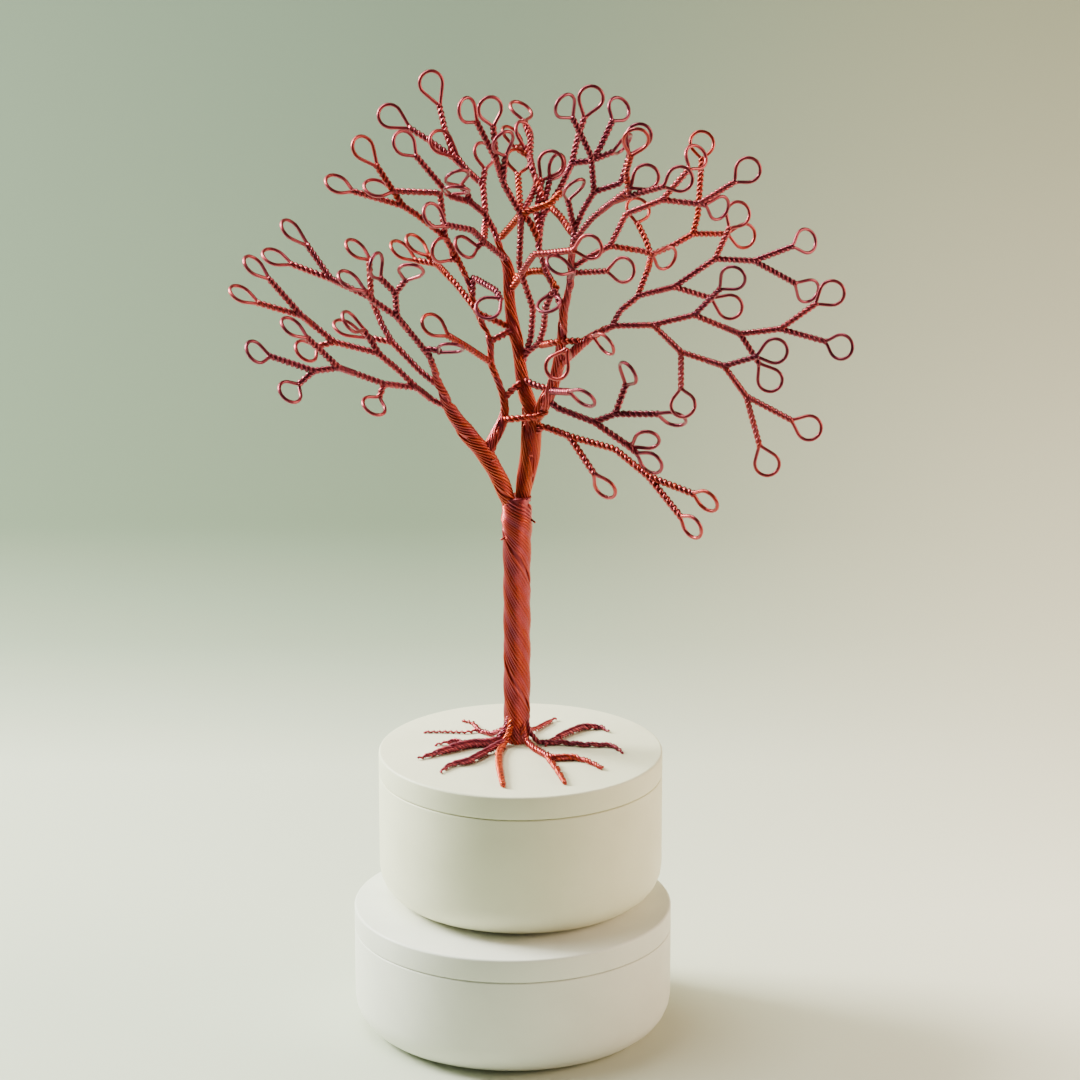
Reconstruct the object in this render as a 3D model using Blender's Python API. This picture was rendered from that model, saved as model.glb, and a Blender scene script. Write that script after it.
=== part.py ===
"""Jewelry tree of copper wire on two stacked round boxes with lids.

Metres, +Z up, the viewer stands on the -Y side. The origin is on the ground, at the middle of the lower box's
underside. The trunk is a bundle of wire. It parts into limbs, the limbs into boughs of twisted wire pairs, and
each pair ends in a bent ring on which jewelry hangs. Its roots spread over the upper lid.

The crown is drawn in perspective on a board that stands at the trunk's foot, leans back and faces the eye. A
mark on the board is (across, up) in plan units, from the trunk's middle and from its foot. A mark's depth says
how far it stands toward the viewer of the trunk, in the same units, and the mark is carried there along its
line of sight.
"""

import math
from dataclasses import dataclass

import bmesh
import bpy
from mathutils import Matrix, Vector

# Boxes
LOWER_DIAMETER = 0.112
LOWER_BODY_HEIGHT = 0.0365
UPPER_DIAMETER = 0.100
UPPER_BODY_HEIGHT = 0.0452
LID_RIM = 0.0083
LID_PLATE = 0.0045
BOX_WALL = 0.005
BOX_FLOOR = 0.006
FOOT_ROUNDING = 0.012
LIP_DEPTH = 0.004
LIP_WALL = 0.003
LIP_PLAY = 0.0005
EDGE_SOFTENING = 0.0008
UPPER_BOX_RIGHT = 0.0028
UPPER_BOX_BACK = 0.008
BOX_SIDES = 24
FOOT_STEPS = 3
INNER_STEPS = 1

# Tree
TREE_HEIGHT = 0.2405
TRUNK_LEFT = 0.0013
TRUNK_BACK = 0.008
TRUNK_DIAMETER = 0.0095
BAND_DIAMETER = 0.0104
ROOT_DIAMETER = 0.0030
ROOT_TIP_DIAMETER = 0.0018

# Wirework, in proportion to the tree
TWIG_DIAMETER = 0.009 * TREE_HEIGHT
RING_WIRE = 0.6 * TWIG_DIAMETER
RING_DIAMETER = 0.035 * TREE_HEIGHT
RING_REACH = 0.0241 * TREE_HEIGHT

# Distance that touching pieces keep
GAP = 0.0003

# Where pieces are joined or cut, edges shorter than this are closed up, and bends flatter than this are merged
SLIVER = 0.000002
FLAT_BEND = math.radians(1)

# Board of the drawing, in plan units
PLAN_HEIGHT = 679
FOOT_MARK = (0, 4)
EYE_MARK = (23, 205)
EYE_DISTANCE = 4230
BOARD_LEAN = math.radians(16.7)
TRUNK_TOP = 246
BAND_FOOT = 205

TRUNK_SIDES = 12
LIMB_SIDES = 8
TWIG_SIDES = 4
RING_SIDES = 3
RING_STEPS = 6
ROOT_SIDES = 6
TWIG_FOOT_SHARE = 0.7

UNIT = TREE_HEIGHT / PLAN_HEIGHT
LOWER_TOP = LOWER_BODY_HEIGHT + GAP + LID_RIM
UPPER_FOOT = LOWER_TOP + GAP
UPPER_TOP = UPPER_FOOT + UPPER_BODY_HEIGHT + GAP + LID_RIM
UPPER_AXIS = Vector((UPPER_BOX_RIGHT, UPPER_BOX_BACK, 0))
TRUNK_FOOT = Vector((UPPER_BOX_RIGHT - TRUNK_LEFT, UPPER_BOX_BACK + TRUNK_BACK, UPPER_TOP))
RIGHT = Vector((1, 0, 0))
BOARD_UP = Vector((0, math.sin(BOARD_LEAN), math.cos(BOARD_LEAN)))
SIGHT = Vector((0, math.cos(BOARD_LEAN), -math.sin(BOARD_LEAN)))


def on_board(across, up):
    """The point of the board at a mark."""
    return TRUNK_FOOT + UNIT * ((across - FOOT_MARK[0]) * RIGHT + (up - FOOT_MARK[1]) * BOARD_UP)


EYE = on_board(*EYE_MARK) - UNIT * EYE_DISTANCE * SIGHT


def carried(across, up, depth):
    """The mark carried along its line of sight to its depth."""
    along = on_board(across, up) - EYE
    return EYE + along * ((TRUNK_FOOT.y - UNIT * depth - EYE.y) / along.y)


def laid(across, up, height):
    """The mark carried along its line of sight down to a height over the upper lid."""
    along = on_board(across, up) - EYE
    return EYE + along * ((UPPER_TOP + height - EYE.z) / along.z)


@dataclass
class Limb:
    """A thick bundle of wire: its marks are (across, up, depth, thickness), all in plan units."""

    name: str
    carriers: tuple
    marks: tuple

    def depth_at(self, mark):
        """Depth of the limb where it passes nearest to a mark of the drawing."""
        best = (math.inf, 0)
        for start, end in zip(self.marks, self.marks[1:]):
            run = (end[0] - start[0], end[1] - start[1])
            along = (mark[0] - start[0]) * run[0] + (mark[1] - start[1]) * run[1]
            share = min(1, max(0, along / (run[0] ** 2 + run[1] ** 2)))
            off = math.dist(mark[:2], (start[0] + share * run[0], start[1] + share * run[1]))
            best = min(best, (off, start[2] + share * (end[2] - start[2])))
        return best[1]

    def tubes(self, swell=0):
        """Mesh of the limb, made thicker and longer by swell."""
        path = [carried(*mark[:3]) for mark in self.marks]
        radii = [mark[3] * UNIT / 2 + swell for mark in self.marks]
        return [tube(lengthened(path, swell), radii, LIMB_SIDES)]


@dataclass
class Twig:
    """A twisted pair from mark to mark, with a ring at its end: ring is (across, up, turn), or None."""

    marks: tuple
    ring: tuple = None


@dataclass
class Bough:
    """Twigs that start from one foot. Their depth grows evenly from the foot's to tip_depth at full reach."""

    name: str
    carriers: tuple
    tip_depth: float
    twigs: tuple

    def depth_at(self, mark):
        """Depth of a mark, by its distance from the bough's foot. A third number in the mark adds to it."""
        foot = self.twigs[0].marks[0]
        foot_depth = PIECES[self.carriers[0]].depth_at(foot)
        reach = max(math.dist(foot, twig.marks[-1][:2]) for twig in self.twigs)
        share = math.dist(foot, mark[:2]) / reach
        return foot_depth + share * (self.tip_depth - foot_depth) + sum(mark[2:])

    def tubes(self, swell=0):
        """Meshes of the twigs, made thicker and longer by swell, without their rings."""
        made = []
        for twig in self.twigs:
            path = [carried(*mark[:2], self.depth_at(mark)) for mark in twig.marks]
            radii = [TWIG_DIAMETER / 2 + swell] * len(path)
            if not swell:
                radii[0] *= TWIG_FOOT_SHARE
            made.append(tube(lengthened(path, swell), radii, TWIG_SIDES))
        return made

    def rings(self):
        """Meshes of the rings at the twigs' ends."""
        foot_depth = self.depth_at(self.twigs[0].marks[0])
        outward = 1 if self.tip_depth >= foot_depth else -1
        made = []
        for twig in self.twigs:
            if not twig.ring:
                continue
            neck_depth = self.depth_at(twig.marks[-1])
            neck = carried(*twig.marks[-1][:2], neck_depth)
            flat_reach = UNIT * math.dist(twig.marks[-1][:2], twig.ring[:2])
            hidden = math.sqrt(max(0, RING_REACH**2 - flat_reach**2)) / UNIT
            middle = carried(*twig.ring[:2], neck_depth + outward * hidden)
            made.append(ring(neck, middle, math.radians(twig.ring[2])))
        return made


def lengthened(path, extra):
    """The path with both ends moved outward by extra."""
    first = path[0] + extra * (path[0] - path[1]).normalized()
    last = path[-1] + extra * (path[-1] - path[-2]).normalized()
    return [first, *path[1:-1], last]


def tube(path, radii, sides, normal=None):
    """Mesh of a tube along a path. With a normal, the path is a closed ring in the plane across it."""
    count = len(path)
    around = [path[-1], *path, path[0]] if normal else [2 * path[0] - path[1], *path, 2 * path[-1] - path[-2]]
    bm = bmesh.new()
    loops = []
    side = normal
    for number in range(count):
        before, point, after = around[number : number + 3]
        heading = ((point - before).normalized() + (after - point).normalized()).normalized()
        if not side:
            side = heading.orthogonal()
        side = (side - side.dot(heading) * heading).normalized()
        other = heading.cross(side)
        angles = [2 * math.pi * (step + 0.5) / sides for step in range(sides)]
        spots = [point + radii[number] * (math.cos(a) * side + math.sin(a) * other) for a in angles]
        loops.append([bm.verts.new(spot) for spot in spots])
    if normal:
        loops.append(loops[0])
    else:
        bm.faces.new(loops[0][::-1])
        bm.faces.new(loops[-1])
    for low, high in zip(loops, loops[1:]):
        for step in range(sides):
            after = (step + 1) % sides
            bm.faces.new((low[step], low[after], high[after], high[step]))
    bmesh.ops.triangulate(bm, faces=bm.faces)
    mesh = bpy.data.meshes.new("tube")
    bm.to_mesh(mesh)
    bm.free()
    return mesh


def ring(neck, middle, turn):
    """Mesh of a ring of wire bent round its middle and drawn to its neck, turned about the line between them."""
    reach = (middle - neck).length
    ahead = (middle - neck) / reach
    facing = (middle - EYE).normalized()
    across = Matrix.Rotation(turn, 3, ahead) @ ahead.cross(facing).normalized()
    radius = min(RING_DIAMETER / 2, 0.95 * reach)
    widest = math.pi - math.acos(radius / reach)
    path = [neck]
    for step in range(RING_STEPS):
        angle = widest * (1 - 2 * step / (RING_STEPS - 1))
        path.append(middle + radius * (math.cos(angle) * ahead + math.sin(angle) * across))
    return tube(path, [RING_WIRE / 2] * len(path), RING_SIDES, ahead.cross(across))


def material(name, colour, roughness, metallic):
    """A finish of one colour, given as linear red, green and blue."""
    finish = bpy.data.materials.new(name)
    finish.use_nodes = True
    shader = finish.node_tree.nodes["Principled BSDF"]
    shader.inputs["Base Color"].default_value = (*colour, 1)
    shader.inputs["Roughness"].default_value = roughness
    shader.inputs["Metallic"].default_value = metallic
    return finish


def clean(mesh):
    """Closes up slivers, merges flat neighbours and takes out faces that lie back to back."""
    bm = bmesh.new()
    bm.from_mesh(mesh)
    bmesh.ops.remove_doubles(bm, verts=bm.verts, dist=SLIVER)
    bmesh.ops.dissolve_degenerate(bm, edges=bm.edges, dist=SLIVER)
    bmesh.ops.dissolve_limit(bm, angle_limit=FLAT_BEND, verts=bm.verts, edges=bm.edges)
    bmesh.ops.triangulate(bm, faces=bm.faces)
    corners = {}
    for face in bm.faces:
        corners.setdefault(frozenset(face.verts), []).append(face)
    doubled = [face for faces in corners.values() if len(faces) > 1 for face in faces]
    bmesh.ops.delete(bm, geom=doubled, context="FACES")
    bm.to_mesh(mesh)
    bm.free()


def fused(name, meshes, cutters, finish):
    """One object made of meshes that overlap, less what the cutters take away."""
    collections = [bpy.data.collections.new(name + part) for part in ("_joined", "_cutters")]
    objects = []
    for collection, parts in zip(collections, (meshes[1:], cutters)):
        for mesh in parts:
            objects.append(bpy.data.objects.new(collection.name, mesh))
            collection.objects.link(objects[-1])
    body = bpy.data.objects.new(name, meshes[0])
    bpy.context.scene.collection.objects.link(body)
    for collection, operation in zip(collections, ("UNION", "DIFFERENCE")):
        if collection.objects:
            boolean = body.modifiers.new(collection.name, "BOOLEAN")
            boolean.operation = operation
            boolean.operand_type = "COLLECTION"
            boolean.collection = collection
            boolean.solver = "EXACT"
    graph = bpy.context.evaluated_depsgraph_get()
    whole = bpy.data.meshes.new_from_object(body.evaluated_get(graph))
    whole.name = name
    clean(whole)
    body.modifiers.clear()
    body.data = whole
    for helper in objects:
        bpy.data.objects.remove(helper)
    for collection in collections:
        bpy.data.collections.remove(collection)
    whole.materials.clear()
    whole.materials.append(finish)
    whole.shade_smooth()
    whole.set_sharp_from_angle(angle=math.radians(50))
    return body


def turned(name, profile, axis, finish):
    """A turned piece: its profile of (radius, height) runs round the axis, and down the outer side."""
    mesh = bpy.data.meshes.new(name)
    points = [(radius, 0, height) for radius, height in profile]
    mesh.from_pydata(points, [(n, n + 1) for n in range(len(points) - 1)], [])
    mesh.materials.append(finish)
    piece = bpy.data.objects.new(name, mesh)
    piece.location = axis
    screw = piece.modifiers.new("turned", "SCREW")
    screw.steps = screw.render_steps = BOX_SIDES
    screw.use_merge_vertices = True
    screw.merge_threshold = 0.0001
    bpy.context.scene.collection.objects.link(piece)
    return piece


def rounded(radius, height, rounding, steps):
    """Points of a rounded lower edge in so many steps, from the wall down and in to the underside."""
    points = []
    for step in range(steps + 1):
        angle = math.pi / 2 * step / steps
        inward = rounding * (1 - math.cos(angle))
        points.append((radius - inward, height + rounding * (1 - math.sin(angle))))
    return points


def box_body(name, diameter, height, foot, finish):
    """An open-topped pot with a rounded foot."""
    outer = diameter / 2
    inner = outer - BOX_WALL
    inner_rounding = max(FOOT_ROUNDING - BOX_WALL, EDGE_SOFTENING)
    hollow = rounded(inner, BOX_FLOOR, inner_rounding, INNER_STEPS)[::-1]
    shell = rounded(outer, 0, FOOT_ROUNDING, FOOT_STEPS)
    profile = [(0, BOX_FLOOR), *hollow, (inner, height), (outer, height), *shell, (0, 0)]
    return turned(name, profile, foot, finish)


def box_lid(name, diameter, seat, finish):
    """A flat lid with a lip that drops into the mouth of its box."""
    outer = diameter / 2
    soft = EDGE_SOFTENING
    lip = outer - BOX_WALL - LIP_PLAY
    profile = [(0, LID_RIM), (outer - soft, LID_RIM), (outer, LID_RIM - soft), (outer, 0), (lip, 0)]
    profile += [(lip, -LIP_DEPTH), (lip - LIP_WALL, -LIP_DEPTH), (lip - LIP_WALL, LID_RIM - LID_PLATE)]
    return turned(name, [*profile, (0, LID_RIM - LID_PLATE)], seat, finish)


def trunk_tubes(swell=0):
    """Meshes of the trunk and of the band of wire wound round its top."""
    made = []
    for marks, diameter in (((0, TRUNK_TOP - 2), TRUNK_DIAMETER), ((BAND_FOOT, TRUNK_TOP), BAND_DIAMETER)):
        path = [carried(0, up, 0) for up in marks]
        if not marks[0]:
            path[0] = TRUNK_FOOT + Vector((0, 0, GAP))
        made.append(tube(lengthened(path, swell), [diameter / 2 + swell] * 2, TRUNK_SIDES))
    return made


def root_tubes():
    """Meshes of the roots, which lie on the upper lid and thin toward their tips."""
    made = []
    foot = TRUNK_FOOT + Vector((0, 0, GAP + ROOT_DIAMETER / 2))
    for fork, marks in ROOTS:
        thickness = [ROOT_DIAMETER] * (len(marks) - 1) + [ROOT_TIP_DIAMETER]
        path = [laid(*mark, GAP + width / 2) for mark, width in zip(marks, thickness)]
        path.insert(0, laid(*fork, GAP + ROOT_DIAMETER / 2) if fork else foot)
        made.append(tube(path, [width / 2 for width in (ROOT_DIAMETER, *thickness)], ROOT_SIDES))
    return made


# Limbs, from the trunk outward: (across, up, depth, thickness)
LIMBS = (
    Limb(
        "centre_limb",
        ("trunk",),
        (
            (4, 240, -2, 13), (9, 268, -4, 18), (13, 290, -6, 20), (15, 320, -6, 20), (13, 338, -10, 16),
            (8, 352, -14, 14), (4, 372, -20, 13), (1, 400, -26, 12), (-5, 424, -30, 13), (-8, 450, -34, 11),
            (-8, 476, -38, 12), (-16, 495, -42, 8), (-21, 512, -46, 6), (-31, 528, -50, 5.5),
        ),
    ),
    Limb(
        "left_limb",
        ("trunk", "centre_limb"),
        (
            (-7, 240, 2, 15), (-17, 266, 4, 17), (-31, 290, 6, 17), (-50, 312, 8, 17), (-60, 325, 10, 15),
            (-68, 338, 12, 12), (-77, 358, 16, 9), (-88, 391, 22, 6),
        ),
    ),
    Limb(
        "inner_limb",
        ("left_limb",),
        (
            (-29, 296, 6, 12), (-20, 312, -2, 13), (-13, 327, -6, 10), (-12, 346, -8, 8), (-18, 362, -10, 7),
            (-26, 378, -12, 7), (-26, 402, -14, 7), (-34, 420, -18, 6), (-42, 437, -22, 6), (-47, 460, -26, 6),
            (-60, 487, -32, 5.5),
        ),
    ),
    Limb(
        "tall_limb",
        ("centre_limb",),
        (
            (16, 320, -5, 11), (29, 345, 4, 14), (37, 362, 8, 13), (43, 385, 12, 12), (45, 410, 16, 10),
            (47, 435, 20, 9), (53, 458, 24, 8), (54, 480, 28, 8), (56, 500, 32, 7), (58, 518, 36, 6),
        ),
    ),
    Limb(
        "right_limb",
        ("tall_limb",),
        ((41, 378, 11, 9), (53, 390, 18, 10), (65, 401, 24, 10), (78, 411, 28, 9), (99, 420, 30, 7)),
    ),
)

# Boughs: name, what carries them, depth of their tips, twigs
BOUGHS = (
    Bough("left_low_bough", ("left_limb",), 30, (
        Twig(((-66, 336), (-85, 345), (-100, 357), (-120, 376), (-140, 392), (-183, 403), (-215, 429),
              (-249, 467)), (-263, 479, 57)),
        Twig(((-215, 429), (-259, 442)), (-276, 451, 57)),
        Twig(((-183, 403), (-201, 398)), (-211, 394, 18)),
        Twig(((-137, 390), (-154, 416)), (-166, 423, 55)),
    )),
    Bough("left_hanging_bough", ("left_low_bough",), 75, (
        Twig(((-100, 357), (-133, 361), (-155, 369), (-178, 377), (-211, 408)), (-225, 418, 57)),
        Twig(((-178, 377), (-203, 374), (-248, 389)), (-261, 393, 40)),
        Twig(((-203, 374), (-219, 360)), (-227, 353, 5)),
        Twig(((-133, 361), (-138, 347)), (-143, 339, 0)),
    )),
    Bough("left_outer_bough", ("left_limb",), -35, (
        Twig(((-77, 358), (-97, 374), (-125, 403), (-135, 420), (-146, 447), (-186, 466), (-210, 500)),
             (-226, 515, 56)),
        Twig(((-186, 466), (-226, 481)), (-243, 488, 55)),
        Twig(((-146, 447), (-147, 470), (-148, 486)), (-161, 496, 57)),
        Twig(((-125, 403), (-152, 408)), (-172, 417, 57)),
    )),
    Bough("left_inner_bough", ("left_limb",), 55, (
        Twig(((-87, 388), (-105, 410), (-120, 428), (-122, 452), (-137, 467)), (-141, 480, 50)),
        Twig(((-122, 452), (-111, 465)), (-106, 474, 20)),
        Twig(((-120, 428), (-145, 445), (-153, 455)), (-168, 465, 57)),
        Twig(((-93, 395), (-84, 396), (-77, 393)), (-66, 397, 60)),
    )),
    Bough("left_short_twig", ("inner_limb",), 45, (
        Twig(((-26, 382), (-50, 398), (-70, 410)), (-84, 420, 40)),
    )),
    Bough("inner_short_twig", ("inner_limb",), 20, (
        Twig(((-44, 468), (-20, 454), (-17, 446)), (-29, 437, 25)),
    )),
    Bough("left_upper_bough", ("inner_limb",), -75, (
        Twig(((-42, 437), (-60, 460), (-80, 481), (-102, 485)), (-116, 495, 57)),
        Twig(((-80, 481), (-89, 490)), (-101, 501, 57)),
    )),
    Bough("left_crown_bough", ("inner_limb",), -15, (
        Twig(((-59, 485), (-72, 508), (-100, 530), (-114, 539), (-141, 580)), (-154, 597, 35)),
        Twig(((-114, 539), (-165, 554)), (-180, 561, 50)),
        Twig(((-72, 508), (-77, 552), (-125, 554)), (-141, 557, 50)),
        Twig(((-59, 485), (-66, 486)), (-76, 495, 20)),
    )),
    Bough("left_heart_bough", ("centre_limb",), 20, (
        Twig(((-9, 484), (-33, 503), (-45, 515), (-72, 520)), (-84, 530, 40)),
        Twig(((-33, 503), (-40, 498)), (-52, 498, 30)),
    )),
    Bough("top_left_bough", ("centre_limb",), -30, (
        Twig(((-25, 518), (-33, 532, 3), (-47, 543), (-68, 549), (-79, 563), (-102, 590)), (-113, 602, 30)),
        Twig(((-47, 543), (-50, 553), (-57, 560)), (-60, 568, 0)),
        Twig(((-68, 549), (-66, 551)), (-60, 555, 50)),
    )),
    Bough("top_outer_bough", ("centre_limb",), -100, (
        Twig(((-31, 528), (-34, 560), (-62, 586), (-87, 604), (-109, 618)), (-127, 629, 20)),
        Twig(((-62, 586), (-72, 615), (-78, 641)), (-86, 662, 15)),
        Twig(((-51, 576), (-60, 588)), (-76, 603, 30)),
        Twig(((-34, 560), (-32, 577)), (-33, 591, 40)),
    )),
    Bough("top_centre_bough", ("centre_limb",), 15, (
        Twig(((6, 384), (14, 408), (16, 436), (6, 466), (2, 480), (3, 500), (4, 530), (-14, 562), (-21, 585),
              (-41, 624)), (-50, 635, 35)),
        Twig(((-21, 585), (-24, 620)), (-27, 636, 20)),
        Twig(((-14, 562), (-12, 590)), (-14, 603, 30)),
    )),
    Bough("crown_back_bough", ("top_centre_bough",), -90, (
        Twig(((4, 530), (15, 549, -4), (20, 562, -4), (15, 577), (13, 588), (8, 598)), (7, 612, 50)),
        Twig(((13, 588), (14, 606), (7, 625)), (4, 635, 40)),
        Twig(((13, 588), (-2, 598)), (-5, 609, 50)),
        Twig(((4, 530), (1, 572)), (1, 585, 20)),
    )),
    Bough("cross_bough", ("top_centre_bough",), 70, (
        Twig(((4, 472), (17, 491), (30, 492), (58, 495)), (73, 498, 15)),
    )),
    Bough("crown_heart_bough", ("tall_limb",), -55, (
        Twig(((46, 432), (38, 455), (28, 477), (21, 500), (25, 527), (45, 560), (55, 582), (61, 608), (68, 629)),
             (74, 647, 10)),
        Twig(((55, 582), (74, 584), (82, 595), (96, 625)), (102, 636, 20)),
        Twig(((74, 584), (96, 593)), (106, 601, 70)),
        Twig(((27, 540), (33, 566)), (40, 579, 50)),
        Twig(((23, 514), (19, 530), (25, 566)), (34, 582, 0)),
    )),
    Bough("heart_strand", ("top_centre_bough", "crown_heart_bough"), 12, (
        Twig(((9, 392), (22, 402), (27, 418), (28, 438), (38, 457))),
        Twig(((31, 444), (34, 451)), (32, 441, 25)),
    )),
    Bough("top_right_bough", ("tall_limb",), 55, (
        Twig(((57, 514), (66, 535), (77, 553), (74, 589), (63, 612), (55, 628)), (48, 639, 20)),
        Twig(((77, 553), (104, 562), (113, 592)), (122, 609, 15)),
        Twig(((57, 514), (51, 545)), (57, 557, 55)),
    )),
    Bough("crown_side_bough", ("tall_limb",), 100, (
        Twig(((56, 504), (75, 527), (95, 543), (112, 549), (148, 559)), (163, 566, 10)),
        Twig(((95, 543), (115, 558)), (129, 568, 10)),
        Twig(((112, 549), (109, 573), (114, 590)), (119, 605, 15)),
    )),
    Bough("side_twig", ("tall_limb",), 45, (
        Twig(((54, 472), (91, 474)), (106, 475, 0)),
    )),
    Bough("inner_twig", ("tall_limb",), 60, (
        Twig(((54, 468), (56, 474)), (41, 480, 50)),
    )),
    Bough("right_crown_bough", ("tall_limb",), 10, (
        Twig(((54, 476), (70, 487), (93, 499), (109, 531), (145, 545), (182, 541), (219, 564)), (231, 575, 5)),
        Twig(((182, 541), (190, 540)), (202, 537, 10)),
        Twig(((145, 545), (173, 577)), (179, 588, 20)),
        Twig(((93, 499), (125, 494), (137, 490)), (149, 487, 15)),
    )),
    Bough("right_upper_bough", ("right_middle_bough",), -70, (
        Twig(((120, 447), (132, 478), (134, 490), (155, 499), (176, 511), (212, 511)), (227, 509, 5)),
        Twig(((176, 511), (181, 530), (185, 587)), (185, 602, 15)),
        Twig(((134, 490), (129, 505), (120, 523)), (121, 536, 20)),
    )),
    Bough("right_middle_bough", ("right_limb",), -20, (
        Twig(((94, 417), (103, 434), (121, 449), (157, 458), (198, 486), (237, 484), (277, 499)), (289, 504, 5)),
        Twig(((237, 484), (279, 461)), (291, 454, 5)),
        Twig(((157, 458), (196, 446)), (213, 438, 10)),
        Twig(((198, 486), (213, 518)), (221, 531, 15)),
    )),
    Bough("right_outer_bough", ("right_limb",), 45, (
        Twig(((96, 419), (136, 420), (177, 430), (223, 411), (263, 416), (300, 442)), (315, 452, 5)),
        Twig(((263, 416), (310, 403)), (324, 398, 5)),
        Twig(((223, 411), (243, 380)), (253, 365, 10)),
        Twig(((177, 430), (204, 457)), (216, 467, 10)),
    )),
    Bough("right_hanging_bough", ("right_outer_bough",), 90, (
        Twig(((136, 420), (164, 393), (207, 379), (229, 349), (276, 324)), (292, 317, 5)),
        Twig(((229, 349), (243, 298)), (250, 281, 10)),
        Twig(((207, 379), (241, 389)), (258, 394, 10)),
        Twig(((164, 393), (164, 355)), (166, 340, 10)),
    )),
    Bough("right_short_twig", ("right_limb",), 45, (
        Twig(((74, 408), (77, 408)), (88, 401, 57)),
    )),
    Bough("front_high_bough", ("tall_limb",), 30, (
        Twig(((30, 347), (40, 337), (77, 323), (98, 331), (141, 331)), (157, 326, 60)),
        Twig(((98, 331), (109, 361)), (111, 372, -40)),
        Twig(((77, 323), (110, 300), (116, 299)), (130, 305, 40)),
        Twig(((110, 300), (121, 291)), (134, 282, 45)),
    )),
    Bough("front_low_bough", ("centre_limb", "tall_limb"), 100, (
        Twig(((14, 308), (26, 319), (52, 309), (98, 296), (131, 269), (177, 251)), (190, 244, 50)),
        Twig(((131, 269), (164, 228)), (175, 218, 50)),
        Twig(((52, 309), (78, 270)), (88, 257, 50)),
    )),
    Bough("front_short_twig", ("tall_limb",), 60, (
        Twig(((33, 354), (53, 353)), (67, 347, 60)),
    )),
    Bough("front_high_twig", ("right_limb",), 60, (
        Twig(((52, 389), (49, 394)), (40, 378, 20)),
    )),
)

# Roots, outward: the mark where they fork from another root, or None at the trunk, and the marks (across, up)
ROOTS = (
    (None, ((-39, 16), (-51, 13), (-92, 14))),
    ((-39, 16), ((-45, 24), (-55, 26))),
    (None, ((-43, 1), (-77, -7), (-99, -12))),
    ((-43, 1), ((-82, 2),)),
    (None, ((-20, -7), (-47, -16), (-67, -19), (-77, -26))),
    (None, ((-15, -12), (-14, -40))),
    (None, ((35, -13), (59, -12), (85, -22))),
    ((35, -13), ((48, -37),)),
    (None, ((37, 3), (67, 0), (106, -5))),
    ((37, 3), ((55, 13), (89, 16))),
    (None, ((39, 28),)),
)

PIECES = {piece.name: piece for piece in LIMBS + BOUGHS}


def main():
    for leftover in list(bpy.data.objects):
        bpy.data.objects.remove(leftover)
    white = material("white_paint", (0.68, 0.68, 0.67), 0.55, 0)
    ivory = material("ivory_paint", (0.70, 0.70, 0.58), 0.55, 0)
    copper = material("copper_wire", (0.42, 0.06, 0.03), 0.35, 1)
    upright = Vector((0, 0, 1))
    lower_seat = (LOWER_BODY_HEIGHT + GAP) * upright
    upper_foot = UPPER_AXIS + UPPER_FOOT * upright
    box_body("lower_box", LOWER_DIAMETER, LOWER_BODY_HEIGHT, Vector(), white)
    box_lid("lower_lid", LOWER_DIAMETER, lower_seat, white)
    box_body("upper_box", UPPER_DIAMETER, UPPER_BODY_HEIGHT, upper_foot, ivory)
    box_lid("upper_lid", UPPER_DIAMETER, upper_foot + (UPPER_BODY_HEIGHT + GAP) * upright, ivory)
    fused("trunk", trunk_tubes() + root_tubes(), [], copper)
    for limb in LIMBS:
        cutters = []
        for carrier in limb.carriers:
            cutters += trunk_tubes(GAP) if carrier == "trunk" else PIECES[carrier].tubes(GAP)
        fused(limb.name, limb.tubes(), cutters, copper)
    for bough in BOUGHS:
        cutters = []
        for carrier in bough.carriers:
            cutters += PIECES[carrier].tubes(GAP)
        fused(bough.name, bough.tubes() + bough.rings(), cutters, copper)


main()
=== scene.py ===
"""Dressing of a jewelry tree of copper wire that stands on two stacked round boxes with lids.

Metres, +Z up, the viewer stands on the -Y side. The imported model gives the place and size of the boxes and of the
lid that the tree stands on. The tree is drawn in perspective on a board that stands at the trunk's foot, leans back
and faces the eye. A mark on the board is (across, up) in plan units, from the trunk's middle and from its foot, and
a mark's depth says how far it stands toward the viewer of the trunk.
"""

import logging
import math
from dataclasses import dataclass, field
from enum import Enum
from functools import cached_property

import bpy
import numpy as np
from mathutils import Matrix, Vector

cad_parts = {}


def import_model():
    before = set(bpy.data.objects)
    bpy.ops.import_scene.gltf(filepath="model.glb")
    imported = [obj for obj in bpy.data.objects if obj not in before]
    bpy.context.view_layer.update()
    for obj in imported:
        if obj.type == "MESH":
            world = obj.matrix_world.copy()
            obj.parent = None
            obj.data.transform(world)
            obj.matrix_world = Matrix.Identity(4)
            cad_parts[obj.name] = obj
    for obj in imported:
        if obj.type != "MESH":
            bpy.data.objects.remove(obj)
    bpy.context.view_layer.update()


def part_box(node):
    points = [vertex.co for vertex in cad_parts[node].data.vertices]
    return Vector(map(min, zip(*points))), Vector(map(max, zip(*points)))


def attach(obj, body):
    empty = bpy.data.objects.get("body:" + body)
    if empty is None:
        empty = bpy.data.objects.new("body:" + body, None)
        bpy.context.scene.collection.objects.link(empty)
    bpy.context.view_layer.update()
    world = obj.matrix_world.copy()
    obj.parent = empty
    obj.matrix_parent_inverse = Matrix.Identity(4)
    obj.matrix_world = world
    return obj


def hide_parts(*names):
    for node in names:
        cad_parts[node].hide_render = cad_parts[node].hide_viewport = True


logging.basicConfig(level=logging.INFO, format="%(message)s")
log = logging.getLogger("jewelry_tree")

MM = 0.001
BODY = "root"
TONE = "tone"
SEED = 20
FOOT_OFFSET = (-1.3 * MM, 8 * MM)


class Lay(Enum):
    """Which way a wire winds, seen from outside: LEFT moves to the left as it goes up."""

    LEFT = -1
    RIGHT = 1


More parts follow.
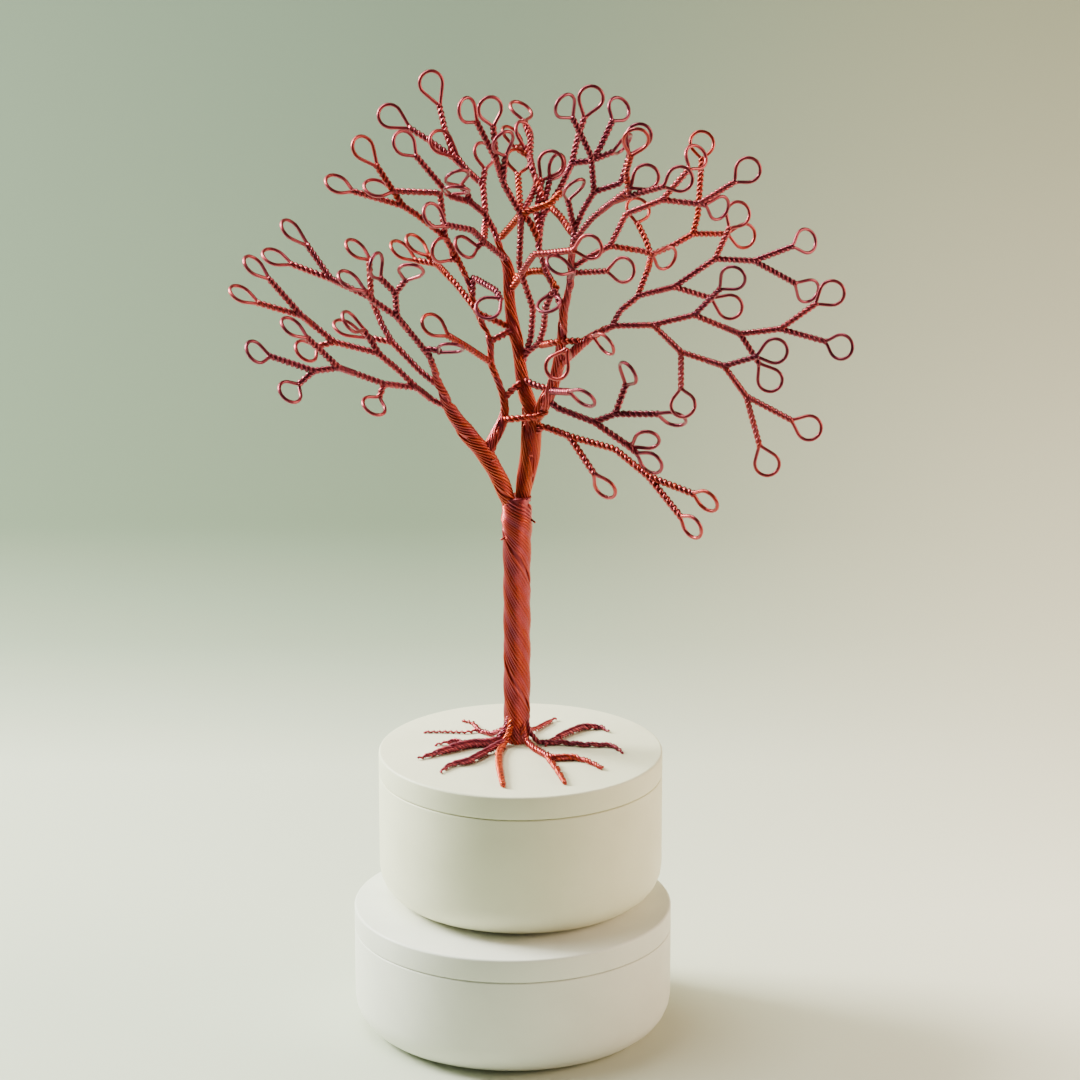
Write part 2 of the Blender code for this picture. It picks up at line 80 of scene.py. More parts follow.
class Slot(Enum):
    """Names of material slots."""

    WHITE = "white_paint"
    IVORY = "ivory_paint"
    COPPER = "copper_wire"


def linear(colour: str) -> tuple[float, float, float, float]:
    """Turns an sRGB hex colour to linear light.

    Args:
        colour: Six hex digits after a hash sign.

    Returns:
        Linear red, green and blue, and an alpha of one. A channel c is c / 12.92 up to 0.04045, and
        ((c + 0.055) / 1.055) to the power of 2.4 above it.
    """
    channels = np.array([int(colour[place : place + 2], 16) for place in (1, 3, 5)]) / 255
    light = np.where(channels <= 0.04045, channels / 12.92, ((channels + 0.055) / 1.055) ** 2.4)
    return (*light.tolist(), 1.0)


def unit(vectors: np.ndarray) -> np.ndarray:
    """Each row divided by its own length."""
    return vectors / np.linalg.norm(vectors, axis=-1, keepdims=True)


def arc_length(line: np.ndarray) -> np.ndarray:
    """Distance along the line from its start to each of its points."""
    return np.r_[0, np.cumsum(np.linalg.norm(np.diff(line, axis=0), axis=1))]


def walked(points: np.ndarray, step: float, rounding: float = 0) -> np.ndarray:
    """Walks a broken line in even steps and rounds its corners.

    The line is sampled at even distances. Each sample then becomes the mean of its neighbours, weighted by a raised
    cosine as wide as the rounding, so a corner turns into a bend. Beyond each end the line goes on as its own
    reflection in that end, so the ends stay where they are.

    Args:
        points: Corners of the line, one per row.
        step: Distance between samples.
        rounding: Length of the bend at a corner.

    Returns:
        The samples, one per row.
    """
    lengths = arc_length(points)
    count = max(4, round(lengths[-1] / step) + 1)
    even = np.linspace(0, lengths[-1], count)
    line = np.stack([np.interp(even, lengths, column) for column in points.T], axis=1)
    reach = min(round(rounding / step / 2), count - 2)
    if reach < 1:
        return line
    head = 2 * line[0] - line[reach:0:-1]
    tail = 2 * line[-1] - line[-2 : -reach - 2 : -1]
    padded = np.vstack([head, line, tail])
    weights = np.hanning(2 * reach + 3)[1:-1]
    weights /= weights.sum()
    return np.stack([np.convolve(column, weights, mode="valid") for column in padded.T], axis=1)


def across_line(line: np.ndarray, reference: np.ndarray) -> tuple[np.ndarray, np.ndarray]:
    """Works out two unit vectors across the line at each point.

    Args:
        line: Points of the line.
        reference: Direction that the first vector keeps to, one for all points or one for each.

    Returns:
        The reference less its share along the line, and the vector square to that and to the line.
    """
    along = unit(np.gradient(line, axis=0))
    reference = np.broadcast_to(reference, line.shape)
    side = unit(reference - np.sum(reference * along, axis=1, keepdims=True) * along)
    return side, np.cross(along, side)


def wound(line: np.ndarray, offset: np.ndarray, angle: np.ndarray, reference: np.ndarray) -> tuple:
    """Winds a line round another: offset * (cos(angle) * side + sin(angle) * other) is added to each point.

    Args:
        line: Points of the core.
        offset: Distance from the core, one or one for each point.
        angle: Angle round the core at each point, from the reference.
        reference: Direction of angle zero.

    Returns:
        The wound points, and the unit vectors from the core to them.
    """
    side, other = across_line(line, reference)
    outward = np.cos(angle)[:, None] * side + np.sin(angle)[:, None] * other
    return line + np.reshape(offset, (-1, 1)) * outward, outward


@dataclass(frozen=True)
class Plan:
    """The drawing board: marks in plan units, and where they stand in the room."""

    foot: np.ndarray
    tree_height: float = 240.5 * MM
    height_in_marks: float = 679
    foot_mark: tuple[float, float] = (0, 4)
    eye_mark: tuple[float, float] = (23, 205)
    eye_distance: float = 4230
    lean: float = math.radians(16.7)

    @cached_property
    def scale(self) -> float:
        """Metres in one plan unit."""
        return self.tree_height / self.height_in_marks

    @cached_property
    def sight(self) -> np.ndarray:
        """Direction in which the eye looks."""
        return np.array([0, math.cos(self.lean), -math.sin(self.lean)])

    @cached_property
    def eye(self) -> np.ndarray:
        """Place of the eye."""
        return self.on_board(np.array([self.eye_mark], float))[0] - self.scale * self.eye_distance * self.sight

    def on_board(self, marks: np.ndarray) -> np.ndarray:
        """Finds points of the board.

        Args:
            marks: Marks (across, up), one per row. Further columns aren't read.

        Returns:
            Their points, one per row.
        """
        up = np.array([0, math.sin(self.lean), math.cos(self.lean)])
        away = self.scale * (marks[:, :2] - np.array(self.foot_mark))
        return self.foot + away[:, :1] * np.array([1, 0, 0]) + away[:, 1:] * up

    def carried(self, marks: np.ndarray) -> np.ndarray:
        """Carries marks along their lines of sight to their depth.

        Args:
            marks: Marks (across, up, depth), one per row.

        Returns:
            Their points, one per row.
        """
        along = self.on_board(marks) - self.eye
        share = (self.foot[1] - self.scale * marks[:, 2] - self.eye[1]) / along[:, 1]
        return self.eye + along * share[:, None]

    def laid(self, marks: np.ndarray, height: float) -> np.ndarray:
        """Carries marks along their lines of sight down to the lid.

        Args:
            marks: Marks (across, up), one per row.
            height: Height over the trunk's foot at which the lines of sight end.

        Returns:
            Their points, one per row.
        """
        along = self.on_board(marks) - self.eye
        share = (self.foot[2] + height - self.eye[2]) / along[:, 2]
        return self.eye + along * share[:, None]


def add_node(tree: bpy.types.NodeTree, kind: str, settings: dict, inputs: dict, stops: tuple = ()) -> bpy.types.Node:
    """Adds a node with its settings and links.

    Args:
        tree: Node tree that gets the node.
        kind: Blender's name for the node's type.
        settings: The node's own properties by name.
        inputs: For each input's name or number, a value or the output socket that is linked to it.
        stops: For a colour ramp, its stops (place, sRGB hex colour) in order.

    Returns:
        The node.
    """
    node = tree.nodes.new(kind)
    for name, value in settings.items():
        setattr(node, name, value)
    for name, value in inputs.items():
        if isinstance(value, bpy.types.NodeSocket):
            tree.links.new(value, node.inputs[name])
        else:
            node.inputs[name].default_value = value
    if stops:
        elements = node.color_ramp.elements
        while len(elements) < len(stops):
            elements.new(0.5)
        for element, (place, colour) in zip(elements, stops):
            element.position = place
            element.color = linear(colour)
    return node


@dataclass(frozen=True)
class Wear:
    """How a handled surface differs from place to place: patches that are duller or shinier, and fine grain.

    Patches and grain are noise of a real size. The roughness runs from rough_from to rough_to as the patches' noise
    runs over the middle of its range.
    """

    patch_size: float
    patch_detail: float
    rough_from: float
    rough_to: float
    grain_size: float
    grain_depth: float
    grain_strength: float
    middle: tuple = (0.3, 0.7)

    def spread(self, value: bpy.types.NodeSocket, low: float, high: float) -> dict:
        """The inputs of a node that maps the middle of a noise to the range from low to high."""
        least, most = self.middle
        return {"Value": value, "From Min": least, "From Max": most, "To Min": low, "To Max": high}

    def apply(self, tree: bpy.types.NodeTree, place: bpy.types.NodeSocket) -> bpy.types.NodeSocket:
        """Gives the tree's shader its uneven roughness and its grain.

        Args:
            tree: Node tree of the material.
            place: The object's own coordinates.

        Returns:
            The patches' noise, for the colour to follow.
        """
        shader = tree.nodes["Principled BSDF"]
        patches = add_node(tree, "ShaderNodeTexNoise", {}, {
            "Vector": place, "Scale": 1 / self.patch_size, "Detail": self.patch_detail}).outputs["Fac"]
        rough = add_node(tree, "ShaderNodeMapRange", {}, self.spread(patches, self.rough_from, self.rough_to))
        tree.links.new(rough.outputs["Result"], shader.inputs["Roughness"])
        grain = add_node(tree, "ShaderNodeTexNoise", {}, {
            "Vector": place, "Scale": 1 / self.grain_size, "Detail": 2})
        bump = add_node(tree, "ShaderNodeBump", {}, {
            "Height": grain.outputs["Fac"], "Distance": self.grain_depth, "Strength": self.grain_strength})
        tree.links.new(bump.outputs["Normal"], shader.inputs["Normal"])
        return patches


def new_finish(name: str) -> tuple[bpy.types.Material, bpy.types.NodeTree, bpy.types.NodeSocket]:
    """Makes a material with nodes.

    Args:
        name: Its name.

    Returns:
        The material, its node tree, and the object's own coordinates as a socket.
    """
    made = bpy.data.materials.new(name)
    made.use_nodes = True
    return made, made.node_tree, add_node(made.node_tree, "ShaderNodeTexCoord", {}, {}).outputs["Object"]


@dataclass(frozen=True)
class EnamelledWire:
    """Soft copper craft wire under clear tinted enamel: drawn smooth, so it glints, and dulled where hands bent it.

    The tone attribute of a piece runs from dark crimson at zero to orange copper at one. Patches of darker enamel
    shift it by up to drift.
    """

    name: str = "enamelled_copper_wire"
    stops: tuple = ((0.0, "#7A2A40"), (0.35, "#A8404C"), (0.65, "#A83325"), (1.0, "#CB5427"))
    drift: float = 0.11
    wear: Wear = Wear(5 * MM, 3, 0.28, 0.44, 0.7 * MM, 0.04 * MM, 0.6)
    metallic: float = 0.85
    coat: float = 0.28
    coat_roughness: float = 0.12

    def material(self) -> bpy.types.Material:
        """Makes the material.

        Returns:
            The material.
        """
        made, tree, place = new_finish(self.name)
        patches = self.wear.apply(tree, place)
        tone = add_node(tree, "ShaderNodeAttribute", {"attribute_name": TONE}, {}).outputs["Fac"]
        drift = add_node(tree, "ShaderNodeMapRange", {}, self.wear.spread(patches, -self.drift, self.drift))
        mixed = add_node(tree, "ShaderNodeMath", {"operation": "ADD", "use_clamp": True},
                         {0: tone, 1: drift.outputs["Result"]})
        ramp = add_node(tree, "ShaderNodeValToRGB", {}, {"Fac": mixed.outputs["Value"]}, self.stops)
        shader = tree.nodes["Principled BSDF"]
        tree.links.new(ramp.outputs["Color"], shader.inputs["Base Color"])
        shader.inputs["Metallic"].default_value = self.metallic
        shader.inputs["Coat Weight"].default_value = self.coat
        shader.inputs["Coat Roughness"].default_value = self.coat_roughness
        return made


@dataclass(frozen=True)
class SatinPaint:
    """Satin paint rolled on turned wood: a soft sheen, faint orange peel from the roller, a slightly uneven coat."""

    name: str
    colour: str
    worn_colour: str
    worn_up_to: float = 0.3
    fresh_from: float = 0.62
    wear: Wear = Wear(22 * MM, 5, 0.52, 0.42, 0.9 * MM, 0.02 * MM, 0.5)

    def material(self) -> bpy.types.Material:
        """Makes the material.

        Returns:
            The material.
        """
        made, tree, place = new_finish(self.name)
        patches = self.wear.apply(tree, place)
        ramp = add_node(tree, "ShaderNodeValToRGB", {}, {"Fac": patches},
                        ((self.worn_up_to, self.worn_colour), (self.fresh_from, self.colour)))
        tree.links.new(ramp.outputs["Color"], tree.nodes["Principled BSDF"].inputs["Base Color"])
        return made


@dataclass(frozen=True)
class PaperSweep:
    """Matt studio paper whose colour fades: pale where things stand on it, darkening to grey-green up the left of
    its bend as painted shade of the wall, and lighter sand colour up the right as painted warm light. Places of the
    fade are distances back along the floor, turning is across it. The back of the paper is clear, so that the tree
    can be seen from behind it too."""

    name: str = "studio_paper_painted_light_and_shade"
    # Left side: the colour darkens up the bend, painted shade of the wall.
    left: tuple = ((0.24, "#C4CAB8"), (0.33, "#8A9783"), (0.40, "#63735E"), (0.62, "#617160"))
    # Right side: lighter and warmer, painted warm light from the right.
    right: tuple = ((0.10, "#F0E8D4"), (0.34, "#C2BBA5"), (0.50, "#A09B86"), (0.62, "#84866F"))
    turning: tuple = (-0.06, 0.30)
    roughness: float = 0.9

    def material(self) -> bpy.types.Material:
        """Makes the material.

        Returns:
            The material.
        """
        made, tree, place = new_finish(self.name)
        split = add_node(tree, "ShaderNodeSeparateXYZ", {}, {"Vector": place})
        # Painted shade up the left of the bend and painted warm light on the right, mixed across the paper.
        sides = [add_node(tree, "ShaderNodeValToRGB", {}, {"Fac": split.outputs["Y"]}, stops)
                 for stops in (self.left, self.right)]
        share = add_node(tree, "ShaderNodeMapRange", {"interpolation_type": "SMOOTHSTEP"},
                         {"Value": split.outputs["X"], "From Min": self.turning[0], "From Max": self.turning[1]})
        mixed = add_node(tree, "ShaderNodeMix", {"data_type": "RGBA"}, {
            "Factor": share.outputs["Result"], 6: sides[0].outputs["Color"], 7: sides[1].outputs["Color"]})
        shader = tree.nodes["Principled BSDF"]
        tree.links.new(mixed.outputs[2], shader.inputs["Base Color"])
        shader.inputs["Roughness"].default_value = self.roughness
        behind = add_node(tree, "ShaderNodeNewGeometry", {}, {}).outputs["Backfacing"]
        clear = add_node(tree, "ShaderNodeBsdfTransparent", {}, {})
        either = add_node(tree, "ShaderNodeMixShader", {}, {
            0: behind, 1: shader.outputs["BSDF"], 2: clear.outputs["BSDF"]})
        tree.links.new(either.outputs["Shader"], tree.nodes["Material Output"].inputs["Surface"])
        return made


def placed(name: str, points: np.ndarray, faces: list, material: bpy.types.Material) -> bpy.types.Object:
    """Puts a smooth mesh in the scene.

    Args:
        name: Name of the object and its mesh.
        points: Vertices, one per row.
        faces: Arrays of faces, each with one face per row.
        material: Its finish.

    Returns:
        The object, at the origin.
    """
    mesh = bpy.data.meshes.new(name)
    mesh.from_pydata(points, [], [face for array in faces for face in array.tolist()])
    mesh.polygons.foreach_set("use_smooth", [True] * len(mesh.polygons))
    mesh.materials.append(material)
    piece = bpy.data.objects.new(name, mesh)
    bpy.context.scene.collection.objects.link(piece)
    return piece


def tube_faces(rows: int, sides: int) -> list[np.ndarray]:
    """Faces of a closed tube whose points come row by row, with the poles of its two ends after them.

    Args:
        rows: Number of rows along the tube.
        sides: Number of points in a row.

    Returns:
        The walls, then the first end and the last. They face outward if a row turns right-handed about the way to
        the next row.
    """
    index = np.arange(rows * sides).reshape(rows, sides)
    after = np.roll(index, -1, axis=1)
    poles = rows * sides + np.arange(2)[:, None] + np.zeros(sides, int)
    walls = np.stack([index[:-1], after[:-1], after[1:], index[1:]], axis=-1).reshape(-1, 4)
    first = np.stack([poles[0], after[0], index[0]], axis=1)
    last = np.stack([poles[1], index[-1], after[-1]], axis=1)
    return [walls, first, last]


@dataclass
class Bench:
    """What wire pieces are made with: plan, draws of chance, finish, and the trunk, limbs and boughs by name."""

    plan: Plan
    random: np.random.Generator
    finish: bpy.types.Material
    pieces: dict


@dataclass(frozen=True)
class Wire:
    """Craft wire of one thickness, two of which are twisted together until they bed into each other."""

    radius: float
    lay: Lay = Lay.RIGHT

    @property
    def pitch(self) -> float:
        """Length of one full twist."""
        return 5.7 * self.radius

    @property
    def offset(self) -> float:
        """Distance of each wire's middle from the line between the two."""
        return 0.86 * self.radius

    @property
    def swollen(self) -> float:
        """Radius of a wire in a pair, where the tight twist makes it stand out sideways."""
        return 1.12 * self.radius

    @property
    def step(self) -> float:
        """Distance between points along a wire, a twelfth of a twist."""
        return self.pitch / 12


FINE = Wire(0.62 * MM)
MIDDLE = Wire(0.65 * MM)
STOUT = Wire(0.70 * MM)


@dataclass
class Skein:
    """Wirework gathered tube by tube into one mesh, each tube with its own tone."""

    name: str
    points: list = field(default_factory=list)
    faces: list = field(default_factory=list)
    tones: list = field(default_factory=list)
    count: int = 0

    def tube(
        self, line: np.ndarray, radius: np.ndarray, outward: np.ndarray, tone: np.ndarray, sides: int = 6
    ) -> None:
        """Adds a closed tube along a line.

        A point of it is line + radius * (cos(angle) * side + sin(angle) * other), with side the outward direction
        made square to the line. Both ends are closed on a pole.

        Args:
            line: Points of the tube's middle.
            radius: Its radius, one or one for each point.
            outward: Direction of angle zero, one or one for each point.
            tone: Its tone, one or one for each point.
            sides: Number of sides.
        """
        side, other = across_line(line, outward)
        angles = np.linspace(0, 2 * math.pi, sides, endpoint=False)
        round_it = np.cos(angles)[:, None] * side[:, None] + np.sin(angles)[:, None] * other[:, None]
        radii = np.broadcast_to(np.reshape(radius, (-1, 1, 1)), (len(line), 1, 1))
        grid = (line[:, None] + radii * round_it).reshape(-1, 3)
        self.points += [grid, line[[0, -1]]]
        self.faces += [self.count + faces for faces in tube_faces(len(line), sides)]
        tones = np.broadcast_to(tone, len(line))
        self.tones += [np.repeat(tones, sides), tones[[0, -1]]]
        self.count += len(grid) + 2

    def pair(self, line: np.ndarray, wire: Wire, reference: np.ndarray, tone: float) -> None:
        """Adds two wires twisted together, one half a turn from the other, the second a little lighter.

        Args:
            line: Points of the line between the two.
            wire: Which wire they are.
            reference: Direction of the first wire at the start.
            tone: Mean tone of the two.
        """
        angle = 2 * math.pi * arc_length(line) / wire.pitch * wire.lay.value
        for half_turn, shift in ((0, -0.06), (math.pi, 0.06)):
            middle, outward = wound(line, wire.offset, angle + half_turn, reference)
            self.tube(middle, wire.swollen, outward, tone + shift)

    def piece(self, finish: bpy.types.Material, *nodes: str) -> None:
        """Puts the piece in the scene and rides it on the part.

        Args:
            finish: Its material.
            nodes: Nodes that it stands for, if any.
        """
        made = placed(self.name, np.vstack(self.points), self.faces, finish)
        tone = made.data.attributes.new(TONE, "FLOAT", "POINT")
        tone.data.foreach_set("value", np.clip(np.concatenate(self.tones), 0, 1).astype(np.float32))
        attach(made, BODY)
        if nodes:
            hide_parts(*nodes)
        log.info("%s: %d points", self.name, self.count)


@dataclass
class Bundle:
    """Parallel wires laid side by side round a core, winding up it at a slant, with some heaped over others.

    In wire radii, the core's surface lies core_depth under the bundle's, its radius is at least least_core, and a
    wire's middle is at least least_offset from the core's. Wires keep end_room of a spacing clear where the two
    half circles meet, and a wire's last points keep the shares end_sink of their distance from the core's middle.
    A wire's tone follows the heap by heap_tone and differs by chance by up to tone_scatter, and its radius is
    wire_radius times a number within girths.
    """

    skein: Skein
    random: np.random.Generator
    wire_radius: float = 0.45 * MM
    heap: float = 0.0
    heap_wires: float = 6.5
    core_depth: float = 1.3
    core_sides: int = 10
    least_core: float = 0.5
    least_offset: float = 0.6
    end_room: float = 0.3
    end_sink: tuple = (1, 0.85, 0.7, 0.55)
    heap_tone: float = 0.28
    tone_scatter: float = 0.22
    girths: tuple = (0.96, 1.08)

    def lay_on(
        self, line: np.ndarray, radii: np.ndarray, slant: np.ndarray, lay: Lay, tones: tuple[float, float],
        fade: float, reference: np.ndarray
    ) -> None:
        """Lays the wires on a core.

        Wire number j stands at the angle turn + j * spacing. The spacing is the wire's width over the core's radius
        and the cosine of the slant. The turn grows by the tangent of the slant over that radius for each length of
        core. A wire ends where its number no longer fits in the half circle on its side, and sinks in there. Every
        heap_wires wires the bundle stands heap higher, by a sine of the number.

        Args:
            line: Points of the core's middle.
            radii: Radius of the whole bundle at each point.
            slant: Angle between the wires and the core, one or one for each point.
            lay: Which way they wind.
            tones: Lowest and highest tone.
            fade: What the tone changes by from start to end.
            reference: Direction of wire zero at the start.
        """
        slant = np.broadcast_to(slant, len(line))
        lengths = arc_length(line)
        fading = fade * lengths / lengths[-1]
        core = np.maximum(radii - self.core_depth * self.wire_radius, self.least_core * self.wire_radius)
        self.skein.tube(line, core, reference, tones[0] + fading, self.core_sides)
        offset = np.maximum(radii - self.wire_radius, self.least_offset * self.wire_radius)
        spacing = 2 * self.wire_radius / (offset * np.cos(slant))
        turn = lay.value * np.cumsum(np.diff(lengths, prepend=0) * np.tan(slant) / offset)
        most = int(math.pi / spacing.min())
        phase = self.random.uniform(0, 2 * math.pi)
        for number in range(-most, most + 1):
            fits = np.flatnonzero(abs(number) * spacing < math.pi - self.end_room * spacing)
            if len(fits) < len(self.end_sink):
                continue
            kept = slice(fits[0], fits[-1] + 1)
            sink = np.ones(fits[-1] + 1 - fits[0])
            if fits[-1] < len(line) - 1:
                sink[-len(self.end_sink) :] = self.end_sink
            swell = math.sin(2 * math.pi * number / self.heap_wires + phase)
            reach = (offset[kept] + self.heap * swell) * sink
            middle, outward = wound(line[kept], reach, (turn + number * spacing)[kept], reference)
            share = 0.5 + self.heap_tone * swell + self.random.uniform(-self.tone_scatter, self.tone_scatter)
            tone = tones[0] + (tones[1] - tones[0]) * share + fading[kept]
            self.skein.tube(middle, self.wire_radius * self.random.uniform(*self.girths), outward, tone)


@dataclass
class Limb:
    """A thick bundle of wire: its marks are (across, up, depth, thickness), all in plan units."""

    name: str
    carrier: str
    marks: tuple
    slant: float = math.radians(20)
    tones: tuple = (0.4, 0.8)
    fade: float = -0.2
    heap: float = 0.12 * MM
    lead_in: float = 5 * MM
    lead_share: float = 0.8
    step: float = 0.9 * MM
    rounding: float = 9 * MM

    def depth_at(self, mark: tuple, bench: Bench) -> float:
        """Depth of the limb where it passes nearest to a mark.

        Args:
            mark: The mark, (across, up) and more.
            bench: What the pieces are made with, which a limb has no need of here.

        Returns:
            The depth in plan units.
        """
        marks = np.array(self.marks, float)
        start, run = marks[:-1, :2], np.diff(marks[:, :2], axis=0)
        share = np.clip(np.sum((np.array(mark[:2]) - start) * run, axis=1) / np.sum(run * run, axis=1), 0, 1)
        off = np.linalg.norm(start + share[:, None] * run - np.array(mark[:2]), axis=1)
        near = int(np.argmin(off))
        return float(marks[near, 2] + share[near] * (marks[near + 1, 2] - marks[near, 2]))

    def routes(self, bench: Bench) -> list[np.ndarray]:
        """The limb's middle line."""
        return [bench.plan.carried(np.array(self.marks, float)[:, :3])]

    def build(self, bench: Bench) -> None:
        """Builds the limb's wires, from a little inside what carries it, and puts them in the scene.

        Args:
            bench: What the pieces are made with.
        """
        route = self.routes(bench)[0]
        thick = np.array(self.marks, float)[:, 3] * bench.plan.scale / 2
        carrier = bench.pieces[self.carrier].routes(bench)
        route = np.vstack([point_before(carrier, route[0], self.lead_in), route])
        thick = np.r_[thick[0] * self.lead_share, thick]
        line = walked(route, self.step, self.rounding)
        share = arc_length(line) / arc_length(line)[-1]
        radii = np.interp(share, arc_length(route) / arc_length(route)[-1], thick)
        skein = Skein(self.name + "_wire")
        bundle = Bundle(skein, bench.random, heap=self.heap)
        bundle.lay_on(line, radii, self.slant, Lay.LEFT, self.tones, self.fade, -bench.plan.sight)
        skein.piece(bench.finish, self.name)


def point_before(
    routes: list[np.ndarray], place: np.ndarray, distance: float, step: float = 0.4 * MM
) -> np.ndarray:
    """Finds the point that comes a distance before the routes' nearest point to a place, on the same route.

    Args:
        routes: Routes to look along.
        place: The place that the nearest point is looked for.
        distance: How far before that point the result lies.
        step: Distance between the points looked at.

    Returns:
        The point.
    """
    lines = [walked(route, step) for route in routes]
    near = min(lines, key=lambda line: np.linalg.norm(line - place, axis=1).min())
    number = int(np.argmin(np.linalg.norm(near - place, axis=1)))
    return near[max(0, number - round(distance / step))]


@dataclass
class Twig:
    """A twisted pair from mark to mark, with a ring at its end: ring is (across, up, turn), or None."""

    marks: tuple
    ring: tuple | None = None


@dataclass
class Bough:
    """Twigs that start from one foot. Their depth grows evenly from the foot's to tip_depth at full reach.

    A ring's radius is at most most_reach of the way from its middle to its neck. The two ends of its wire lie in the
    twig, stem before the neck and stem_gap wire radii off its line, and neck_widening times as far off at the neck.
    """

    name: str
    carrier: str
    tip_depth: float
    twigs: tuple
    wire: Wire = MIDDLE
    ring_diameter: float = 8.42 * MM
    ring_reach: float = 5.8 * MM
    ring_step: float = 0.5 * MM
    ring_rounding: float = 1.6 * MM
    ring_sides: int = 8
    circle_points: int = 25
    most_reach: float = 0.95
    stem_gap: float = 0.5
    neck_widening: float = 1.5
    stem: float = 0.9 * MM
    lead_in: float = 6 * MM
    rounding: float = 3.5 * MM
    tones: tuple = (0.12, 0.5)
    twig_tones: tuple = (-0.15, 0.25)
    ring_tone: float = -0.05

    def depth_at(self, mark: tuple, bench: Bench) -> float:
        """Depth of a mark, by its distance from the bough's foot.

        Args:
            mark: The mark (across, up). A third number adds to the depth.
            bench: What the pieces are made with.

        Returns:
            The depth in plan units.
        """
        foot = self.twigs[0].marks[0]
        foot_depth = bench.pieces[self.carrier].depth_at(foot, bench)
        reach = max(math.dist(foot, twig.marks[-1][:2]) for twig in self.twigs)
        share = math.dist(foot, mark[:2]) / reach
        return foot_depth + share * (self.tip_depth - foot_depth) + sum(mark[2:])

    def routes(self, bench: Bench) -> list[np.ndarray]:
        """The middle line of each twig."""
        return [bench.plan.carried(np.array([(*mark[:2], self.depth_at(mark, bench)) for mark in twig.marks], float))
                for twig in self.twigs]

    def loop(self, bench: Bench, twig: Twig, neck: np.ndarray) -> tuple[np.ndarray, np.ndarray]:
        """The line of a ring bent from one wire.

        It leaves the neck, runs round a circle about the ring's middle as far as the tangents from the neck, and
        comes back. The plane of the circle is turned about the line from neck to middle.

        Args:
            bench: What the pieces are made with.
            twig: Twig that carries the ring.
            neck: Point where the ring starts.

        Returns:
            Points of the ring, and the direction square to its plane.
        """
        plan = bench.plan
        foot_depth = self.depth_at(self.twigs[0].marks[0], bench)
        outward = 1 if self.tip_depth >= foot_depth else -1
        flat = plan.scale * math.dist(twig.marks[-1][:2], twig.ring[:2])
        hidden = math.sqrt(max(0.0, self.ring_reach**2 - flat**2)) / plan.scale
        depth = self.depth_at(twig.marks[-1], bench) + outward * hidden
        middle = plan.carried(np.array([(*twig.ring[:2], depth)], float))[0]
        reach = np.linalg.norm(middle - neck)
        ahead = (middle - neck) / reach
        facing = unit(middle - plan.eye)
        flat_across = unit(np.cross(ahead, facing))
        turn = math.radians(twig.ring[2])
        across = math.cos(turn) * flat_across + math.sin(turn) * np.cross(ahead, flat_across)
        radius = min(self.ring_diameter / 2, self.most_reach * reach)
        widest = math.pi - math.acos(radius / reach)
        angles = np.linspace(widest, -widest, self.circle_points)[:, None]
        circle = middle + radius * (np.cos(angles) * ahead + np.sin(angles) * across)
        stem = neck - self.stem * ahead
        gap = self.stem_gap * self.wire.radius * across
        wide = self.neck_widening * gap
        points = np.vstack([stem + gap, neck + wide, circle, neck - wide, stem - gap])
        return walked(points, self.ring_step, self.ring_rounding), np.cross(ahead, across)

    def build(self, bench: Bench) -> None:
        """Builds the bough's twisted pairs and rings and puts them in the scene.

        Args:
            bench: What the pieces are made with.
        """
        skein = Skein(self.name + "_wire")
        own = self.routes(bench)
        carrier = bench.pieces[self.carrier].routes(bench)
        base = bench.random.uniform(*self.tones)
        for number, (twig, route) in enumerate(zip(self.twigs, own)):
            earlier = own[:number] or carrier
            start = point_before(earlier, route[0], self.lead_in)
            line = walked(np.vstack([start, route]), self.wire.step, self.rounding)
            tone = base + bench.random.uniform(*self.twig_tones)
            skein.pair(line, self.wire, -bench.plan.sight, tone)
            if twig.ring:
                ring, normal = self.loop(bench, twig, line[-1])
                skein.tube(ring, self.wire.radius, normal, tone + self.ring_tone, self.ring_sides)
        skein.piece(bench.finish, self.name)


# Limbs: name, what carries it, marks (across, up, depth, thickness), slant, tones, fade
LIMBS = (
    Limb("centre_limb", "trunk", (
        (4, 240, -2, 13), (9, 268, -4, 18), (13, 290, -6, 20), (15, 320, -6, 20), (13, 338, -10, 16),
        (8, 352, -14, 14), (4, 372, -20, 13), (1, 400, -26, 12), (-5, 424, -30, 13), (-8, 450, -34, 11),
        (-8, 476, -38, 12), (-16, 495, -42, 8), (-21, 512, -46, 6), (-31, 528, -50, 5.5),
    ), math.radians(16), (0.6, 0.95)),
    Limb("left_limb", "trunk", (
        (-7, 240, 2, 15), (-17, 266, 4, 17), (-31, 290, 6, 17), (-50, 312, 8, 17), (-60, 325, 10, 15),
        (-68, 338, 12, 12), (-77, 358, 16, 9), (-88, 391, 22, 6),
    ), math.radians(34), (0.65, 1.0), -0.45),
    Limb("inner_limb", "left_limb", (
        (-29, 296, 6, 12), (-20, 312, -2, 13), (-13, 327, -6, 10), (-12, 346, -8, 8), (-18, 362, -10, 7),
        (-26, 378, -12, 7), (-26, 402, -14, 7), (-34, 420, -18, 6), (-42, 437, -22, 6), (-47, 460, -26, 6),
        (-60, 487, -32, 5.5),
    )),
    Limb("tall_limb", "centre_limb", (
        (16, 320, -5, 11), (29, 345, 4, 14), (37, 362, 8, 13), (43, 385, 12, 12), (45, 410, 16, 10),
        (47, 435, 20, 9), (53, 458, 24, 8), (54, 480, 28, 8), (56, 500, 32, 7), (58, 518, 36, 6),
    )),
    Limb("right_limb", "tall_limb", (
        (41, 378, 11, 9), (53, 390, 18, 10), (65, 401, 24, 10), (78, 411, 28, 9), (99, 420, 30, 7),
    ), math.radians(38)),
)

